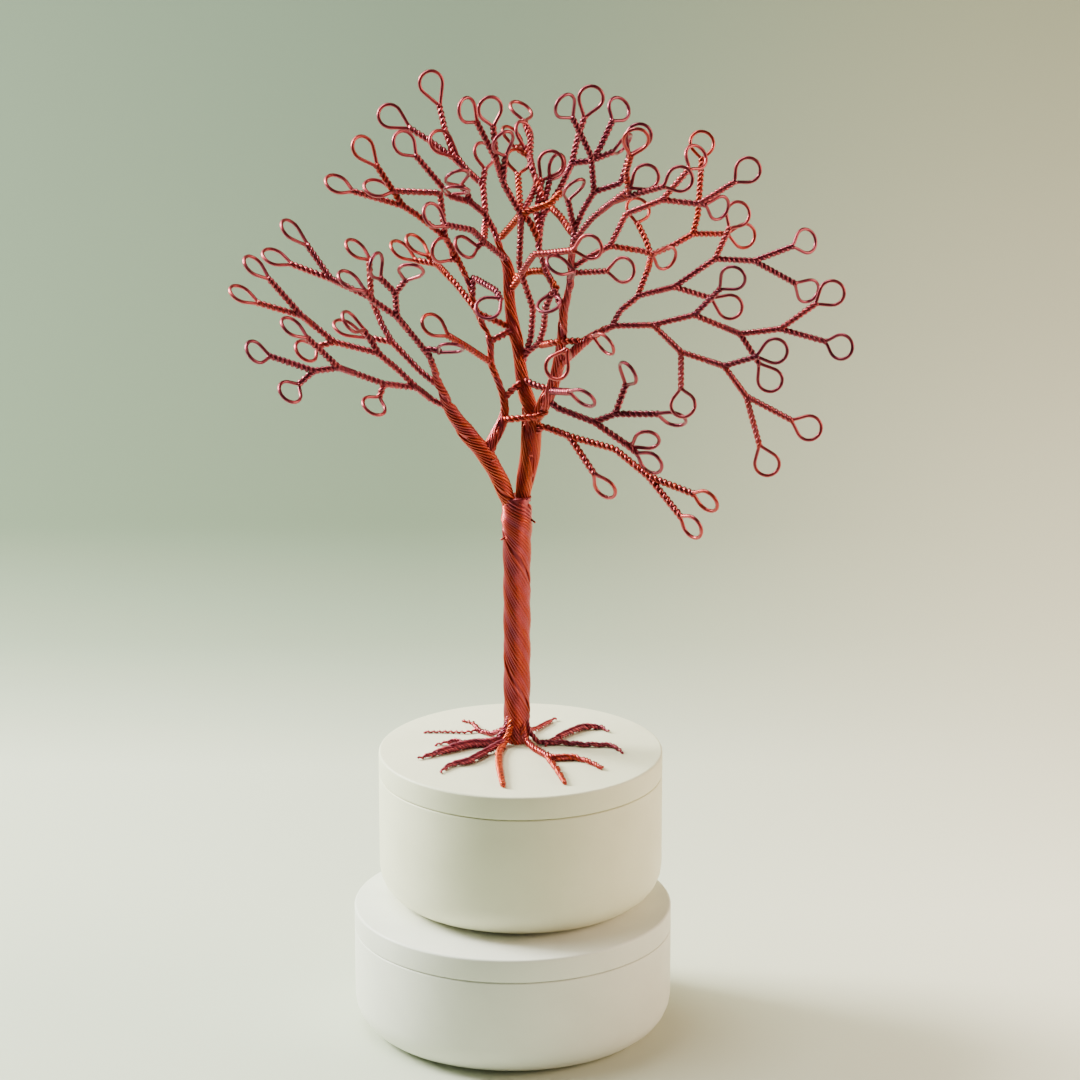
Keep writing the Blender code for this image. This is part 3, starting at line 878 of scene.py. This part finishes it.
# Boughs: name, what carries it, depth of its tips, twigs
BOUGHS = (
    Bough("left_low_bough", "left_limb", 30, (
        Twig(((-66, 336), (-85, 345), (-100, 357), (-120, 376), (-140, 392), (-183, 403), (-215, 429),
              (-249, 467)), (-263, 479, 57)),
        Twig(((-215, 429), (-259, 442)), (-276, 451, 57)),
        Twig(((-183, 403), (-201, 398)), (-211, 394, 18)),
        Twig(((-137, 390), (-154, 416)), (-166, 423, 55)),
    )),
    Bough("left_hanging_bough", "left_low_bough", 75, (
        Twig(((-100, 357), (-133, 361), (-155, 369), (-178, 377), (-211, 408)), (-225, 418, 57)),
        Twig(((-178, 377), (-203, 374), (-248, 389)), (-261, 393, 40)),
        Twig(((-203, 374), (-219, 360)), (-227, 353, 5)),
        Twig(((-133, 361), (-138, 347)), (-143, 339, 0)),
    )),
    Bough("left_outer_bough", "left_limb", -35, (
        Twig(((-77, 358), (-97, 374), (-125, 403), (-135, 420), (-146, 447), (-186, 466), (-210, 500)),
             (-226, 515, 56)),
        Twig(((-186, 466), (-226, 481)), (-243, 488, 55)),
        Twig(((-146, 447), (-147, 470), (-148, 486)), (-161, 496, 57)),
        Twig(((-125, 403), (-152, 408)), (-172, 417, 57)),
    )),
    Bough("left_inner_bough", "left_limb", 55, (
        Twig(((-87, 388), (-105, 410), (-120, 428), (-122, 452), (-137, 467)), (-141, 480, 50)),
        Twig(((-122, 452), (-111, 465)), (-106, 474, 20)),
        Twig(((-120, 428), (-145, 445), (-153, 455)), (-168, 465, 57)),
        Twig(((-93, 395), (-84, 396), (-77, 393)), (-66, 397, 60)),
    )),
    Bough("left_short_twig", "inner_limb", 45, (
        Twig(((-26, 382), (-50, 398), (-70, 410)), (-84, 420, 40)),
    )),
    Bough("inner_short_twig", "inner_limb", 20, (
        Twig(((-44, 468), (-20, 454), (-17, 446)), (-29, 437, 25)),
    )),
    Bough("left_upper_bough", "inner_limb", -75, (
        Twig(((-42, 437), (-60, 460), (-80, 481), (-102, 485)), (-116, 495, 57)),
        Twig(((-80, 481), (-89, 490)), (-101, 501, 57)),
    )),
    Bough("left_crown_bough", "inner_limb", -15, (
        Twig(((-59, 485), (-72, 508), (-100, 530), (-114, 539), (-141, 580)), (-154, 597, 35)),
        Twig(((-114, 539), (-165, 554)), (-180, 561, 50)),
        Twig(((-72, 508), (-77, 552), (-125, 554)), (-141, 557, 50)),
        Twig(((-59, 485), (-66, 486)), (-76, 495, 20)),
    )),
    Bough("left_heart_bough", "centre_limb", 20, (
        Twig(((-9, 484), (-33, 503), (-45, 515), (-72, 520)), (-84, 530, 40)),
        Twig(((-33, 503), (-40, 498)), (-52, 498, 30)),
    )),
    Bough("top_left_bough", "centre_limb", -30, (
        Twig(((-25, 518), (-33, 532, 3), (-47, 543), (-68, 549), (-79, 563), (-102, 590)), (-113, 602, 30)),
        Twig(((-47, 543), (-50, 553), (-57, 560)), (-60, 568, 0)),
        Twig(((-68, 549), (-66, 551)), (-60, 555, 50)),
    )),
    Bough("top_outer_bough", "centre_limb", -100, (
        Twig(((-31, 528), (-34, 560), (-62, 586), (-87, 604), (-109, 618)), (-127, 629, 20)),
        Twig(((-62, 586), (-72, 615), (-78, 641)), (-86, 662, 15)),
        Twig(((-51, 576), (-60, 588)), (-76, 603, 30)),
        Twig(((-34, 560), (-32, 577)), (-33, 591, 40)),
    )),
    Bough("top_centre_bough", "centre_limb", 15, (
        Twig(((6, 384), (14, 408), (16, 436), (6, 466), (2, 480), (3, 500), (4, 530), (-14, 562), (-21, 585),
              (-41, 624)), (-50, 635, 35)),
        Twig(((-21, 585), (-24, 620)), (-27, 636, 20)),
        Twig(((-14, 562), (-12, 590)), (-14, 603, 30)),
    )),
    Bough("crown_back_bough", "top_centre_bough", -90, (
        Twig(((4, 530), (15, 549, -4), (20, 562, -4), (15, 577), (13, 588), (8, 598)), (7, 612, 50)),
        Twig(((13, 588), (14, 606), (7, 625)), (4, 635, 40)),
        Twig(((13, 588), (-2, 598)), (-5, 609, 50)),
        Twig(((4, 530), (1, 572)), (1, 585, 20)),
    )),
    Bough("cross_bough", "top_centre_bough", 70, (
        Twig(((4, 472), (17, 491), (30, 492), (58, 495)), (73, 498, 15)),
    )),
    Bough("crown_heart_bough", "tall_limb", -55, (
        Twig(((46, 432), (38, 455), (28, 477), (21, 500), (25, 527), (45, 560), (55, 582), (61, 608), (68, 629)),
             (74, 647, 10)),
        Twig(((55, 582), (74, 584), (82, 595), (96, 625)), (102, 636, 20)),
        Twig(((74, 584), (96, 593)), (106, 601, 70)),
        Twig(((27, 540), (33, 566)), (40, 579, 50)),
        Twig(((23, 514), (19, 530), (25, 566)), (34, 582, 0)),
    )),
    Bough("heart_strand", "top_centre_bough", 12, (
        Twig(((9, 392), (22, 402), (27, 418), (28, 438), (38, 457))),
        Twig(((31, 444), (34, 451)), (32, 441, 25)),
    )),
    Bough("top_right_bough", "tall_limb", 55, (
        Twig(((57, 514), (66, 535), (77, 553), (74, 589), (63, 612), (55, 628)), (48, 639, 20)),
        Twig(((77, 553), (104, 562), (113, 592)), (122, 609, 15)),
        Twig(((57, 514), (51, 545)), (57, 557, 55)),
    ), FINE),
    Bough("crown_side_bough", "tall_limb", 100, (
        Twig(((56, 504), (75, 527), (95, 543), (112, 549), (148, 559)), (163, 566, 10)),
        Twig(((95, 543), (115, 558)), (129, 568, 10)),
        Twig(((112, 549), (109, 573), (114, 590)), (119, 605, 15)),
    ), FINE),
    Bough("side_twig", "tall_limb", 45, (
        Twig(((54, 472), (91, 474)), (106, 475, 0)),
    ), FINE),
    Bough("inner_twig", "tall_limb", 60, (
        Twig(((54, 468), (56, 474)), (41, 480, 50)),
    ), FINE),
    Bough("right_crown_bough", "tall_limb", 10, (
        Twig(((54, 476), (70, 487), (93, 499), (109, 531), (145, 545), (182, 541), (219, 564)), (231, 575, 5)),
        Twig(((182, 541), (190, 540)), (202, 537, 10)),
        Twig(((145, 545), (173, 577)), (179, 588, 20)),
        Twig(((93, 499), (125, 494), (137, 490)), (149, 487, 15)),
    ), FINE),
    Bough("right_upper_bough", "right_middle_bough", -70, (
        Twig(((120, 447), (132, 478), (134, 490), (155, 499), (176, 511), (212, 511)), (227, 509, 5)),
        Twig(((176, 511), (181, 530), (185, 587)), (185, 602, 15)),
        Twig(((134, 490), (129, 505), (120, 523)), (121, 536, 20)),
    ), FINE),
    Bough("right_middle_bough", "right_limb", -20, (
        Twig(((94, 417), (103, 434), (121, 449), (157, 458), (198, 486), (237, 484), (277, 499)), (289, 504, 5)),
        Twig(((237, 484), (279, 461)), (291, 454, 5)),
        Twig(((157, 458), (196, 446)), (213, 438, 10)),
        Twig(((198, 486), (213, 518)), (221, 531, 15)),
    ), FINE),
    Bough("right_outer_bough", "right_limb", 45, (
        Twig(((96, 419), (136, 420), (177, 430), (223, 411), (263, 416), (300, 442)), (315, 452, 5)),
        Twig(((263, 416), (310, 403)), (324, 398, 5)),
        Twig(((223, 411), (243, 380)), (253, 365, 10)),
        Twig(((177, 430), (204, 457)), (216, 467, 10)),
    ), FINE),
    Bough("right_hanging_bough", "right_outer_bough", 90, (
        Twig(((136, 420), (164, 393), (207, 379), (229, 349), (276, 324)), (292, 317, 5)),
        Twig(((229, 349), (243, 298)), (250, 281, 10)),
        Twig(((207, 379), (241, 389)), (258, 394, 10)),
        Twig(((164, 393), (164, 355)), (166, 340, 10)),
    ), FINE),
    Bough("right_short_twig", "right_limb", 45, (
        Twig(((74, 408), (77, 408)), (88, 401, 57)),
    ), FINE),
    Bough("front_high_bough", "tall_limb", 30, (
        Twig(((30, 347), (40, 337), (77, 323), (98, 331), (141, 331)), (157, 326, 60)),
        Twig(((98, 331), (109, 361)), (111, 372, -40)),
        Twig(((77, 323), (110, 300), (116, 299)), (130, 305, 40)),
        Twig(((110, 300), (121, 291)), (134, 282, 45)),
    ), STOUT),
    Bough("front_low_bough", "centre_limb", 100, (
        Twig(((14, 308), (26, 319), (52, 309), (98, 296), (131, 269), (177, 251)), (190, 244, 50)),
        Twig(((131, 269), (164, 228)), (175, 218, 50)),
        Twig(((52, 309), (78, 270)), (88, 257, 50)),
    ), STOUT),
    Bough("front_short_twig", "tall_limb", 60, (
        Twig(((33, 354), (53, 353)), (67, 347, 60)),
    ), STOUT),
    Bough("front_high_twig", "right_limb", 60, (
        Twig(((52, 389), (49, 394)), (40, 378, 20)),
    ), STOUT),
)


@dataclass(frozen=True)
class Root:
    """A bundle on the lid: marks (across, up) outward, girth from start to tip, tone, and the mark it forks at."""

    marks: tuple
    girth: tuple = (2.2, 2.6, 2.4, 1.4)
    tone: float = 0.3
    fork: tuple | None = None


ROOTS = (
    Root(((-28, 12), (-39, 16), (-50, 14), (-70, 15), (-93, 15)), (2.2, 2.4, 1.3, 0.9), 0.25),
    Root(((-45, 24), (-55, 26)), (1.6, 1.8, 1.7, 1.1), 0.3, (-37, 15)),
    Root(((-24, 2), (-43, 1), (-60, -3), (-77, -7), (-99, -12)), (2.4, 3.2, 3.4, 1.4), 0.1),
    Root(((-60, 5), (-82, 2)), (1.8, 2.2, 2.0, 1.0), 0.1, (-43, 1)),
    Root(((-32, -8), (-47, -16), (-67, -19), (-77, -26)), (1.4, 2.8, 2.9, 1.4), 0.05),
    Root(((-14, 0), (-18, -8), (-18, -20), (-14, -40)), (2.6, 2.7, 2.6, 2.2), 0.75),
    Root(((18, -4), (35, -13), (59, -12), (75, -17), (85, -22)), (2.2, 2.8, 2.6, 1.8), 0.55),
    Root(((40, -24), (48, -37)), (2.0, 2.4, 2.4, 1.8), 0.65, (30, -11)),
    Root(((22, 3), (48, 3), (67, 1), (95, 1), (106, -6)), (2.1, 2.2, 2.2, 1.6), 0.1),
    Root(((48, 11), (66, 18), (84, 19), (92, 15)), (1.8, 2.6, 2.8, 1.4), 0.1, (31, 3)),
    Root(((20, 17), (39, 28),), (1.8, 1.9, 2.0, 1.6), 0.3),
)

# Ties: single pairs that run from one limb to another, (across, up, depth)
TIES = (
    ((-13, 326, -6), (-6, 326, 5), (6, 327, 8), (20, 328, 7), (30, 334, 3)),
    ((-12, 348, -8), (-4, 356, -8), (4, 362, -14)),
    ((-26, 404, -14), (-16, 409, -20), (-4, 416, -28)),
    ((-40, 432, -20), (-24, 425, -24), (-8, 418, -30)),
    ((6, 366, -16), (20, 359, -4), (34, 356, 6)),
    ((24, 400, -16), (34, 402, 12), (50, 404, 20), (66, 404, 24)),
    ((-2, 468, -30), (14, 474, -18), (28, 474, 0), (40, 456, 12)),
    ((-16, 508, -42), (-6, 519, -26), (3, 530, -2)),
    ((3, 530, -2), (12, 525, -2), (21, 506, -4)),
    ((3, 530, -2), (17, 536, 4), (33, 541, 4), (44, 552, -10)),
    ((-30, 530, -50), (-32, 518, -40), (-33, 506, -22)),
    ((34, 538, -12), (44, 528, 8), (55, 512, 32)),
    ((-6, 456, -34), (0, 464, -26), (5, 470, -14)),
    ((26, 545, -18), (23, 556, -24), (19, 566, -32)),
)

# Cut ends of wire that stand out of the winding: (across, up, depth) of foot and tip
WIRE_ENDS = (
    ((-12, 208, 6), (-16, 205, 9)),
    ((14, 226, 4), (18.5, 222, 6)),
    ((-26, 284, 12), (-20, 286, 16)),
)


@dataclass
class Trunk:
    """The wound trunk, its collar at the fork, and the roots that its wires end in.

    radii (in millimetres) and slants (in degrees) stand at heights in plan units. The trunk is walked in the first
    of steps up to close_from, and in the second above it. A root leaves the trunk's middle through points at
    root_reach, in trunk radii, and root_rise over the lid. Its marks are read at root_sight over the lid.
    """

    name: str = "trunk"
    radius: float = 4.75 * MM
    foot_up: float = 6
    band_top: float = 249
    radii: tuple = ((0, 4.1), (10, 4.3), (35, 4.7), (185, 4.8), (208, 5.1), (226, 5.5), (238, 5.2), (249, 5.1))
    slants: tuple = ((0, 29), (190, 30), (212, 42), (232, 60), (249, 76))
    close_from: float = 185
    steps: tuple = (2.4, 0.8)
    tones: tuple = (0.36, 0.78)
    heap: float = 0.16 * MM
    root_wire: float = 0.42 * MM
    root_heap: float = 0.08 * MM
    root_heap_wires: float = 2.5
    root_slant: float = math.radians(38)
    root_sight: float = 1.2 * MM
    root_reach: tuple = (0.5, 0.8, 1.05, 1.5)
    root_rise: tuple = (11 * MM, 7 * MM, 3.4 * MM, 1.0 * MM)
    fork_lead: float = 2 * MM
    root_step: float = 0.5 * MM
    root_rounding: float = 5 * MM
    root_tones: tuple = (-0.15, 0.25)

    def depth_at(self, mark: tuple, bench: Bench) -> float:
        """The trunk stands at depth zero."""
        return 0.0

    def routes(self, bench: Bench) -> list[np.ndarray]:
        """The trunk's middle line."""
        return [bench.plan.carried(np.array([(0, self.foot_up, 0), (0, self.band_top, 0)], float))]

    def winding(self, plan: Plan, bundle: Bundle) -> None:
        """Winds the trunk's wires, which stand steep below and lie almost level round the top, where the limbs part.

        Args:
            plan: The drawing board.
            bundle: Bundle that takes the wires.
        """
        wide, close = self.steps
        ups = np.r_[np.arange(1, self.close_from, wide), np.arange(self.close_from, self.band_top, close)]
        line = plan.carried(np.stack([0 * ups, ups, 0 * ups], axis=1))
        radii = MM * np.interp(ups, *np.transpose(self.radii))
        slant = np.radians(np.interp(ups, *np.transpose(self.slants)))
        bundle.lay_on(line, radii, slant, Lay.LEFT, self.tones, 0.0, np.array([0.0, -1.0, 0.0]))

    def root(self, plan: Plan, bundle: Bundle, root: Root) -> None:
        """Lays one root: wires twisted round each other, down the trunk's foot and out over the lid.

        Args:
            plan: The drawing board.
            bundle: Bundle that takes the wires.
            root: The root.
        """
        out = plan.laid(np.array(root.marks, float), self.root_sight)
        if root.fork:
            start = plan.laid(np.array([root.fork], float), self.root_sight)
            lead = start - self.fork_lead * unit(out[0] - start[0])
            rise = np.zeros(1)
        else:
            way = unit((out[0] - plan.foot) * np.array([1, 1, 0]))
            rise = np.array(self.root_rise)
            lead = plan.foot + self.radius * np.reshape(self.root_reach, (-1, 1)) * way
        path = np.vstack([lead, out])
        path[:, 2] = plan.foot[2]
        path[: len(rise), 2] += rise
        line = walked(path, self.root_step, self.root_rounding)
        share = arc_length(line) / arc_length(line)[-1]
        radii = MM / 2 * np.interp(share, np.linspace(0, 1, len(root.girth)), root.girth)
        line[:, 2] += radii
        tones = tuple(root.tone + shift for shift in self.root_tones)
        bundle.lay_on(line, radii, self.root_slant, Lay.RIGHT, tones, 0.0, np.array([0.3, 0.2, 1.0]))

    def build(self, bench: Bench) -> None:
        """Builds the trunk and the roots as one piece.

        Args:
            bench: What the pieces are made with.
        """
        skein = Skein(self.name + "_wire")
        self.winding(bench.plan, Bundle(skein, bench.random, heap=self.heap))
        for root in ROOTS:
            bundle = Bundle(skein, bench.random, self.root_wire, self.root_heap, self.root_heap_wires)
            self.root(bench.plan, bundle, root)
        skein.piece(bench.finish, self.name)


@dataclass
class Ties:
    """Short wires from limb to limb, and cut ends that stand out."""

    name: str = "tie_wires"
    rounding: float = 4 * MM
    tones: tuple = (0.4, 0.8)
    cut_radius: float = 0.42 * MM
    cut_tone: float = 0.6

    def build(self, bench: Bench) -> None:
        """Builds all of them as one piece.

        Args:
            bench: What the pieces are made with.
        """
        plan = bench.plan
        skein = Skein(self.name)
        for marks in TIES:
            line = walked(plan.carried(np.array(marks, float)), STOUT.step, self.rounding)
            skein.pair(line, STOUT, -plan.sight, bench.random.uniform(*self.tones))
        for marks in WIRE_ENDS:
            line = walked(plan.carried(np.array(marks, float)), FINE.step)
            skein.tube(line, self.cut_radius, -plan.sight, self.cut_tone)
        skein.piece(bench.finish)


def filleted(corners: list[tuple[float, float, float]], steps: int = 6) -> np.ndarray:
    """Rounds the corners of a profile.

    Each corner is (radius, height, fillet). With half the angle between its two edges as h, the arc starts and ends
    fillet / tan(h) from the corner, and its middle lies fillet / sin(h) from it on the bisector.

    Args:
        corners: Corners of the profile in order.
        steps: Parts of an arc.

    Returns:
        The profile's points (radius, height).
    """
    points = np.array(corners, float)
    out = [points[:1, :2]]
    for before, corner, after in zip(points, points[1:], points[2:]):
        here, fillet = corner[:2], corner[2]
        if not fillet:
            out.append(here[None])
            continue
        back, ahead = unit(before[:2] - here), unit(after[:2] - here)
        half = math.acos(np.clip(back @ ahead, -1, 1)) / 2
        middle = here + unit(back + ahead) * fillet / math.sin(half)
        first = here + back * fillet / math.tan(half) - middle
        last = here + ahead * fillet / math.tan(half) - middle
        share = np.linspace(0, 1, steps + 1)[:, None]
        spread = math.pi - 2 * half
        arc = np.sin((1 - share) * spread) * first + np.sin(share * spread) * last
        out.append(middle + arc / math.sin(spread))
    out.append(points[-1:, :2])
    return np.vstack(out)


def lathed(profile: np.ndarray, axis: np.ndarray, sides: int = 160) -> tuple[np.ndarray, list]:
    """Turns a profile about an upright axis.

    A point is axis + (r * cos(angle), r * sin(angle), z). The profile starts and ends on the axis, and runs down its
    outer side. The faces are a tube's, each turned over to face outward.

    Args:
        profile: Points (radius, height), the first and last with radius zero.
        axis: Point of the axis at height zero.
        sides: Parts of a turn.

    Returns:
        The points, and arrays of faces.
    """
    angles = np.linspace(0, 2 * math.pi, sides, endpoint=False)
    rim = profile[1:-1]
    radii, heights = rim[:, :1], rim[:, 1:]
    grid = np.stack(np.broadcast_arrays(radii * np.cos(angles), radii * np.sin(angles), heights), axis=-1)
    poles = np.array([[0, 0, profile[0, 1]], [0, 0, profile[-1, 1]]])
    points = axis + np.vstack([grid.reshape(-1, 3), poles])
    return points, [np.roll(faces[:, ::-1], 1, axis=1) for faces in tube_faces(len(rim), sides)]


@dataclass
class RoundBox:
    """A turned box with a rounded foot and a flat lid that drops into it."""

    level: str
    slot: Slot
    wall: float = 5 * MM
    floor: float = 6 * MM
    foot_rounding: float = 12 * MM
    lip_depth: float = 4 * MM
    lip_wall: float = 3 * MM
    lip_play: float = 0.5 * MM
    lid_plate: float = 4.5 * MM
    lid_edge: float = 0.9 * MM
    lid_seat_edge: float = 0.4 * MM
    rim_edge: float = 0.5 * MM
    crease: float = math.radians(35)

    def turned(self, name: str, node: str, corners: list, axis: np.ndarray, material: bpy.types.Material) -> None:
        """Turns one piece and puts it in the place of its node.

        Args:
            name: Its name.
            node: The node.
            corners: Corners of its profile (radius, height, fillet).
            axis: Point of its axis at height zero.
            material: Its finish.
        """
        points, faces = lathed(filleted(corners), axis)
        piece = placed(name, points, faces, material)
        piece.data.set_sharp_from_angle(angle=self.crease)
        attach(piece, BODY)
        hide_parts(node)
        log.info("%s: %d points", name, len(points))

    def build(self, material: bpy.types.Material) -> None:
        """Builds the body and the lid.

        Args:
            material: Their finish.
        """
        low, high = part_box(self.level + "_box")
        axis = np.array([(low.x + high.x) / 2, (low.y + high.y) / 2, low.z])
        outer, height = (high.x - low.x) / 2, high.z - low.z
        inner = outer - self.wall
        self.turned(self.level + "_box_shell", self.level + "_box", [
            (0, self.floor, 0), (inner, self.floor, self.foot_rounding - self.wall), (inner, height, self.rim_edge),
            (outer, height, self.rim_edge), (outer, 0, self.foot_rounding), (0, 0, 0),
        ], axis, material)
        lid_low, lid_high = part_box(self.level + "_lid")
        seat = np.array([axis[0], axis[1], lid_low.z + self.lip_depth])
        rim = lid_high.z - seat[2]
        lip = inner - self.lip_play
        ceiling = rim - self.lid_plate
        self.turned(self.level + "_box_lid", self.level + "_lid", [
            (0, rim, 0), (outer, rim, self.lid_edge), (outer, 0, self.lid_seat_edge), (lip, 0, 0),
            (lip, -self.lip_depth, self.rim_edge), (lip - self.lip_wall, -self.lip_depth, self.rim_edge),
            (lip - self.lip_wall, ceiling, 0), (0, ceiling, 0),
        ], seat, material)


@dataclass(frozen=True)
class Softbox:
    """A square soft light at a place, aimed at a point."""

    name: str
    place: tuple
    aim: tuple
    size: float
    watts: float
    colour: str

    def build(self) -> None:
        """Puts the light in the scene."""
        light = bpy.data.lights.new(self.name, "AREA")
        light.shape, light.size, light.energy = "SQUARE", self.size, self.watts
        light.color = linear(self.colour)[:3]
        lamp = bpy.data.objects.new(self.name, light)
        lamp.location = self.place
        lamp.rotation_euler = (Vector(self.aim) - Vector(self.place)).to_track_quat("-Z", "Y").to_euler()
        bpy.context.scene.collection.objects.link(lamp)


# Key light from the left and behind, a warm light from the right, and one from above
SOFTBOXES = (
    Softbox("key_light", (-1.15, 0.5, 0.85), (0, 0, 0.12), 0.6, 96, "#FCFFF2"),
    Softbox("warm_light", (1.35, -0.1, 0.6), (0, 0, 0.15), 0.8, 21, "#FFE0BE"),
    Softbox("top_light", (-0.5, 0.25, 1.8), (0, 0, 0), 0.9, 41, "#F8FBEC"),
)


@dataclass
class Studio:
    """Paper sweep, soft lights, the room's even light, and the camera, whose picture is picture_marks wide."""

    width: float = 5.0
    front: float = -0.32
    bend_start: float = 0.14
    bend_radius: float = 0.55
    wall_height: float = 2.2
    bend_points: int = 33
    columns: int = 25
    room_colour: str = "#E4EAE0"
    room_strength: float = 0.12
    picture_marks: float = 1080
    sensor_width: float = 36
    sight_end: float = 30

    def sweep(self) -> None:
        """The paper: flat, then a quarter circle, then a wall, drawn across the width."""
        angles = np.linspace(0, math.pi / 2, self.bend_points)
        bend = np.stack([self.bend_start + self.bend_radius * np.sin(angles),
                         self.bend_radius * (1 - np.cos(angles))], axis=1)
        profile = np.vstack([[self.front, 0], bend, [self.bend_start + self.bend_radius, self.wall_height]])
        across = np.linspace(-self.width / 2, self.width / 2, self.columns)
        grid = np.stack(np.broadcast_arrays(across, profile[:, :1], profile[:, 1:]), axis=-1)
        index = np.arange(grid.size // 3).reshape(grid.shape[:2])
        faces = np.stack([index[:-1, :-1], index[:-1, 1:], index[1:, 1:], index[1:, :-1]], axis=-1).reshape(-1, 4)
        placed("paper_sweep", grid.reshape(-1, 3), [faces], PaperSweep().material())

    def lights(self) -> None:
        """The soft lights, and the room's even light."""
        for softbox in SOFTBOXES:
            softbox.build()
        world = bpy.data.worlds.new("room")
        world.use_nodes = True
        background = world.node_tree.nodes["Background"]
        background.inputs["Color"].default_value = linear(self.room_colour)
        background.inputs["Strength"].default_value = self.room_strength
        bpy.context.scene.world = world

    def camera(self, plan: Plan) -> None:
        """The camera at the eye, looking along the line of sight.

        Args:
            plan: The drawing board, which knows the eye.
        """
        data = bpy.data.cameras.new("camera")
        data.sensor_width = self.sensor_width
        data.lens = data.sensor_width * plan.eye_distance / self.picture_marks
        data.clip_end = self.sight_end
        camera = bpy.data.objects.new("camera", data)
        camera.location = plan.eye
        camera.rotation_euler = Vector(plan.sight).to_track_quat("-Z", "Y").to_euler()
        bpy.context.scene.collection.objects.link(camera)
        bpy.context.scene.camera = camera

    def build(self, plan: Plan) -> None:
        """Builds the studio.

        Args:
            plan: The drawing board.
        """
        self.camera(plan)
        self.sweep()
        self.lights()


def trunk_foot() -> np.ndarray:
    """Finds where the trunk's middle meets the upper lid: a little left of the lid's middle, and behind it.

    Returns:
        The point.
    """
    low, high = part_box("upper_lid")
    left, back = FOOT_OFFSET
    return np.array([(low.x + high.x) / 2 + left, (low.y + high.y) / 2 + back, high.z])


def main() -> None:
    """Builds the studio, the boxes and the tree in order."""
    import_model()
    plan = Plan(trunk_foot())
    Studio().build(plan)
    RoundBox("lower", Slot.WHITE).build(SatinPaint("white_satin_paint", "#E9EAE0", "#E2E3D9").material())
    RoundBox("upper", Slot.IVORY).build(SatinPaint("ivory_satin_paint", "#ECEBD0", "#E5E4C8").material())
    pieces = {piece.name: piece for piece in (Trunk(), *LIMBS, *BOUGHS)}
    bench = Bench(plan, np.random.default_rng(SEED), EnamelledWire().material(), pieces)
    for piece in (*pieces.values(), Ties()):
        piece.build(bench)


if __name__ == "__main__":
    main()
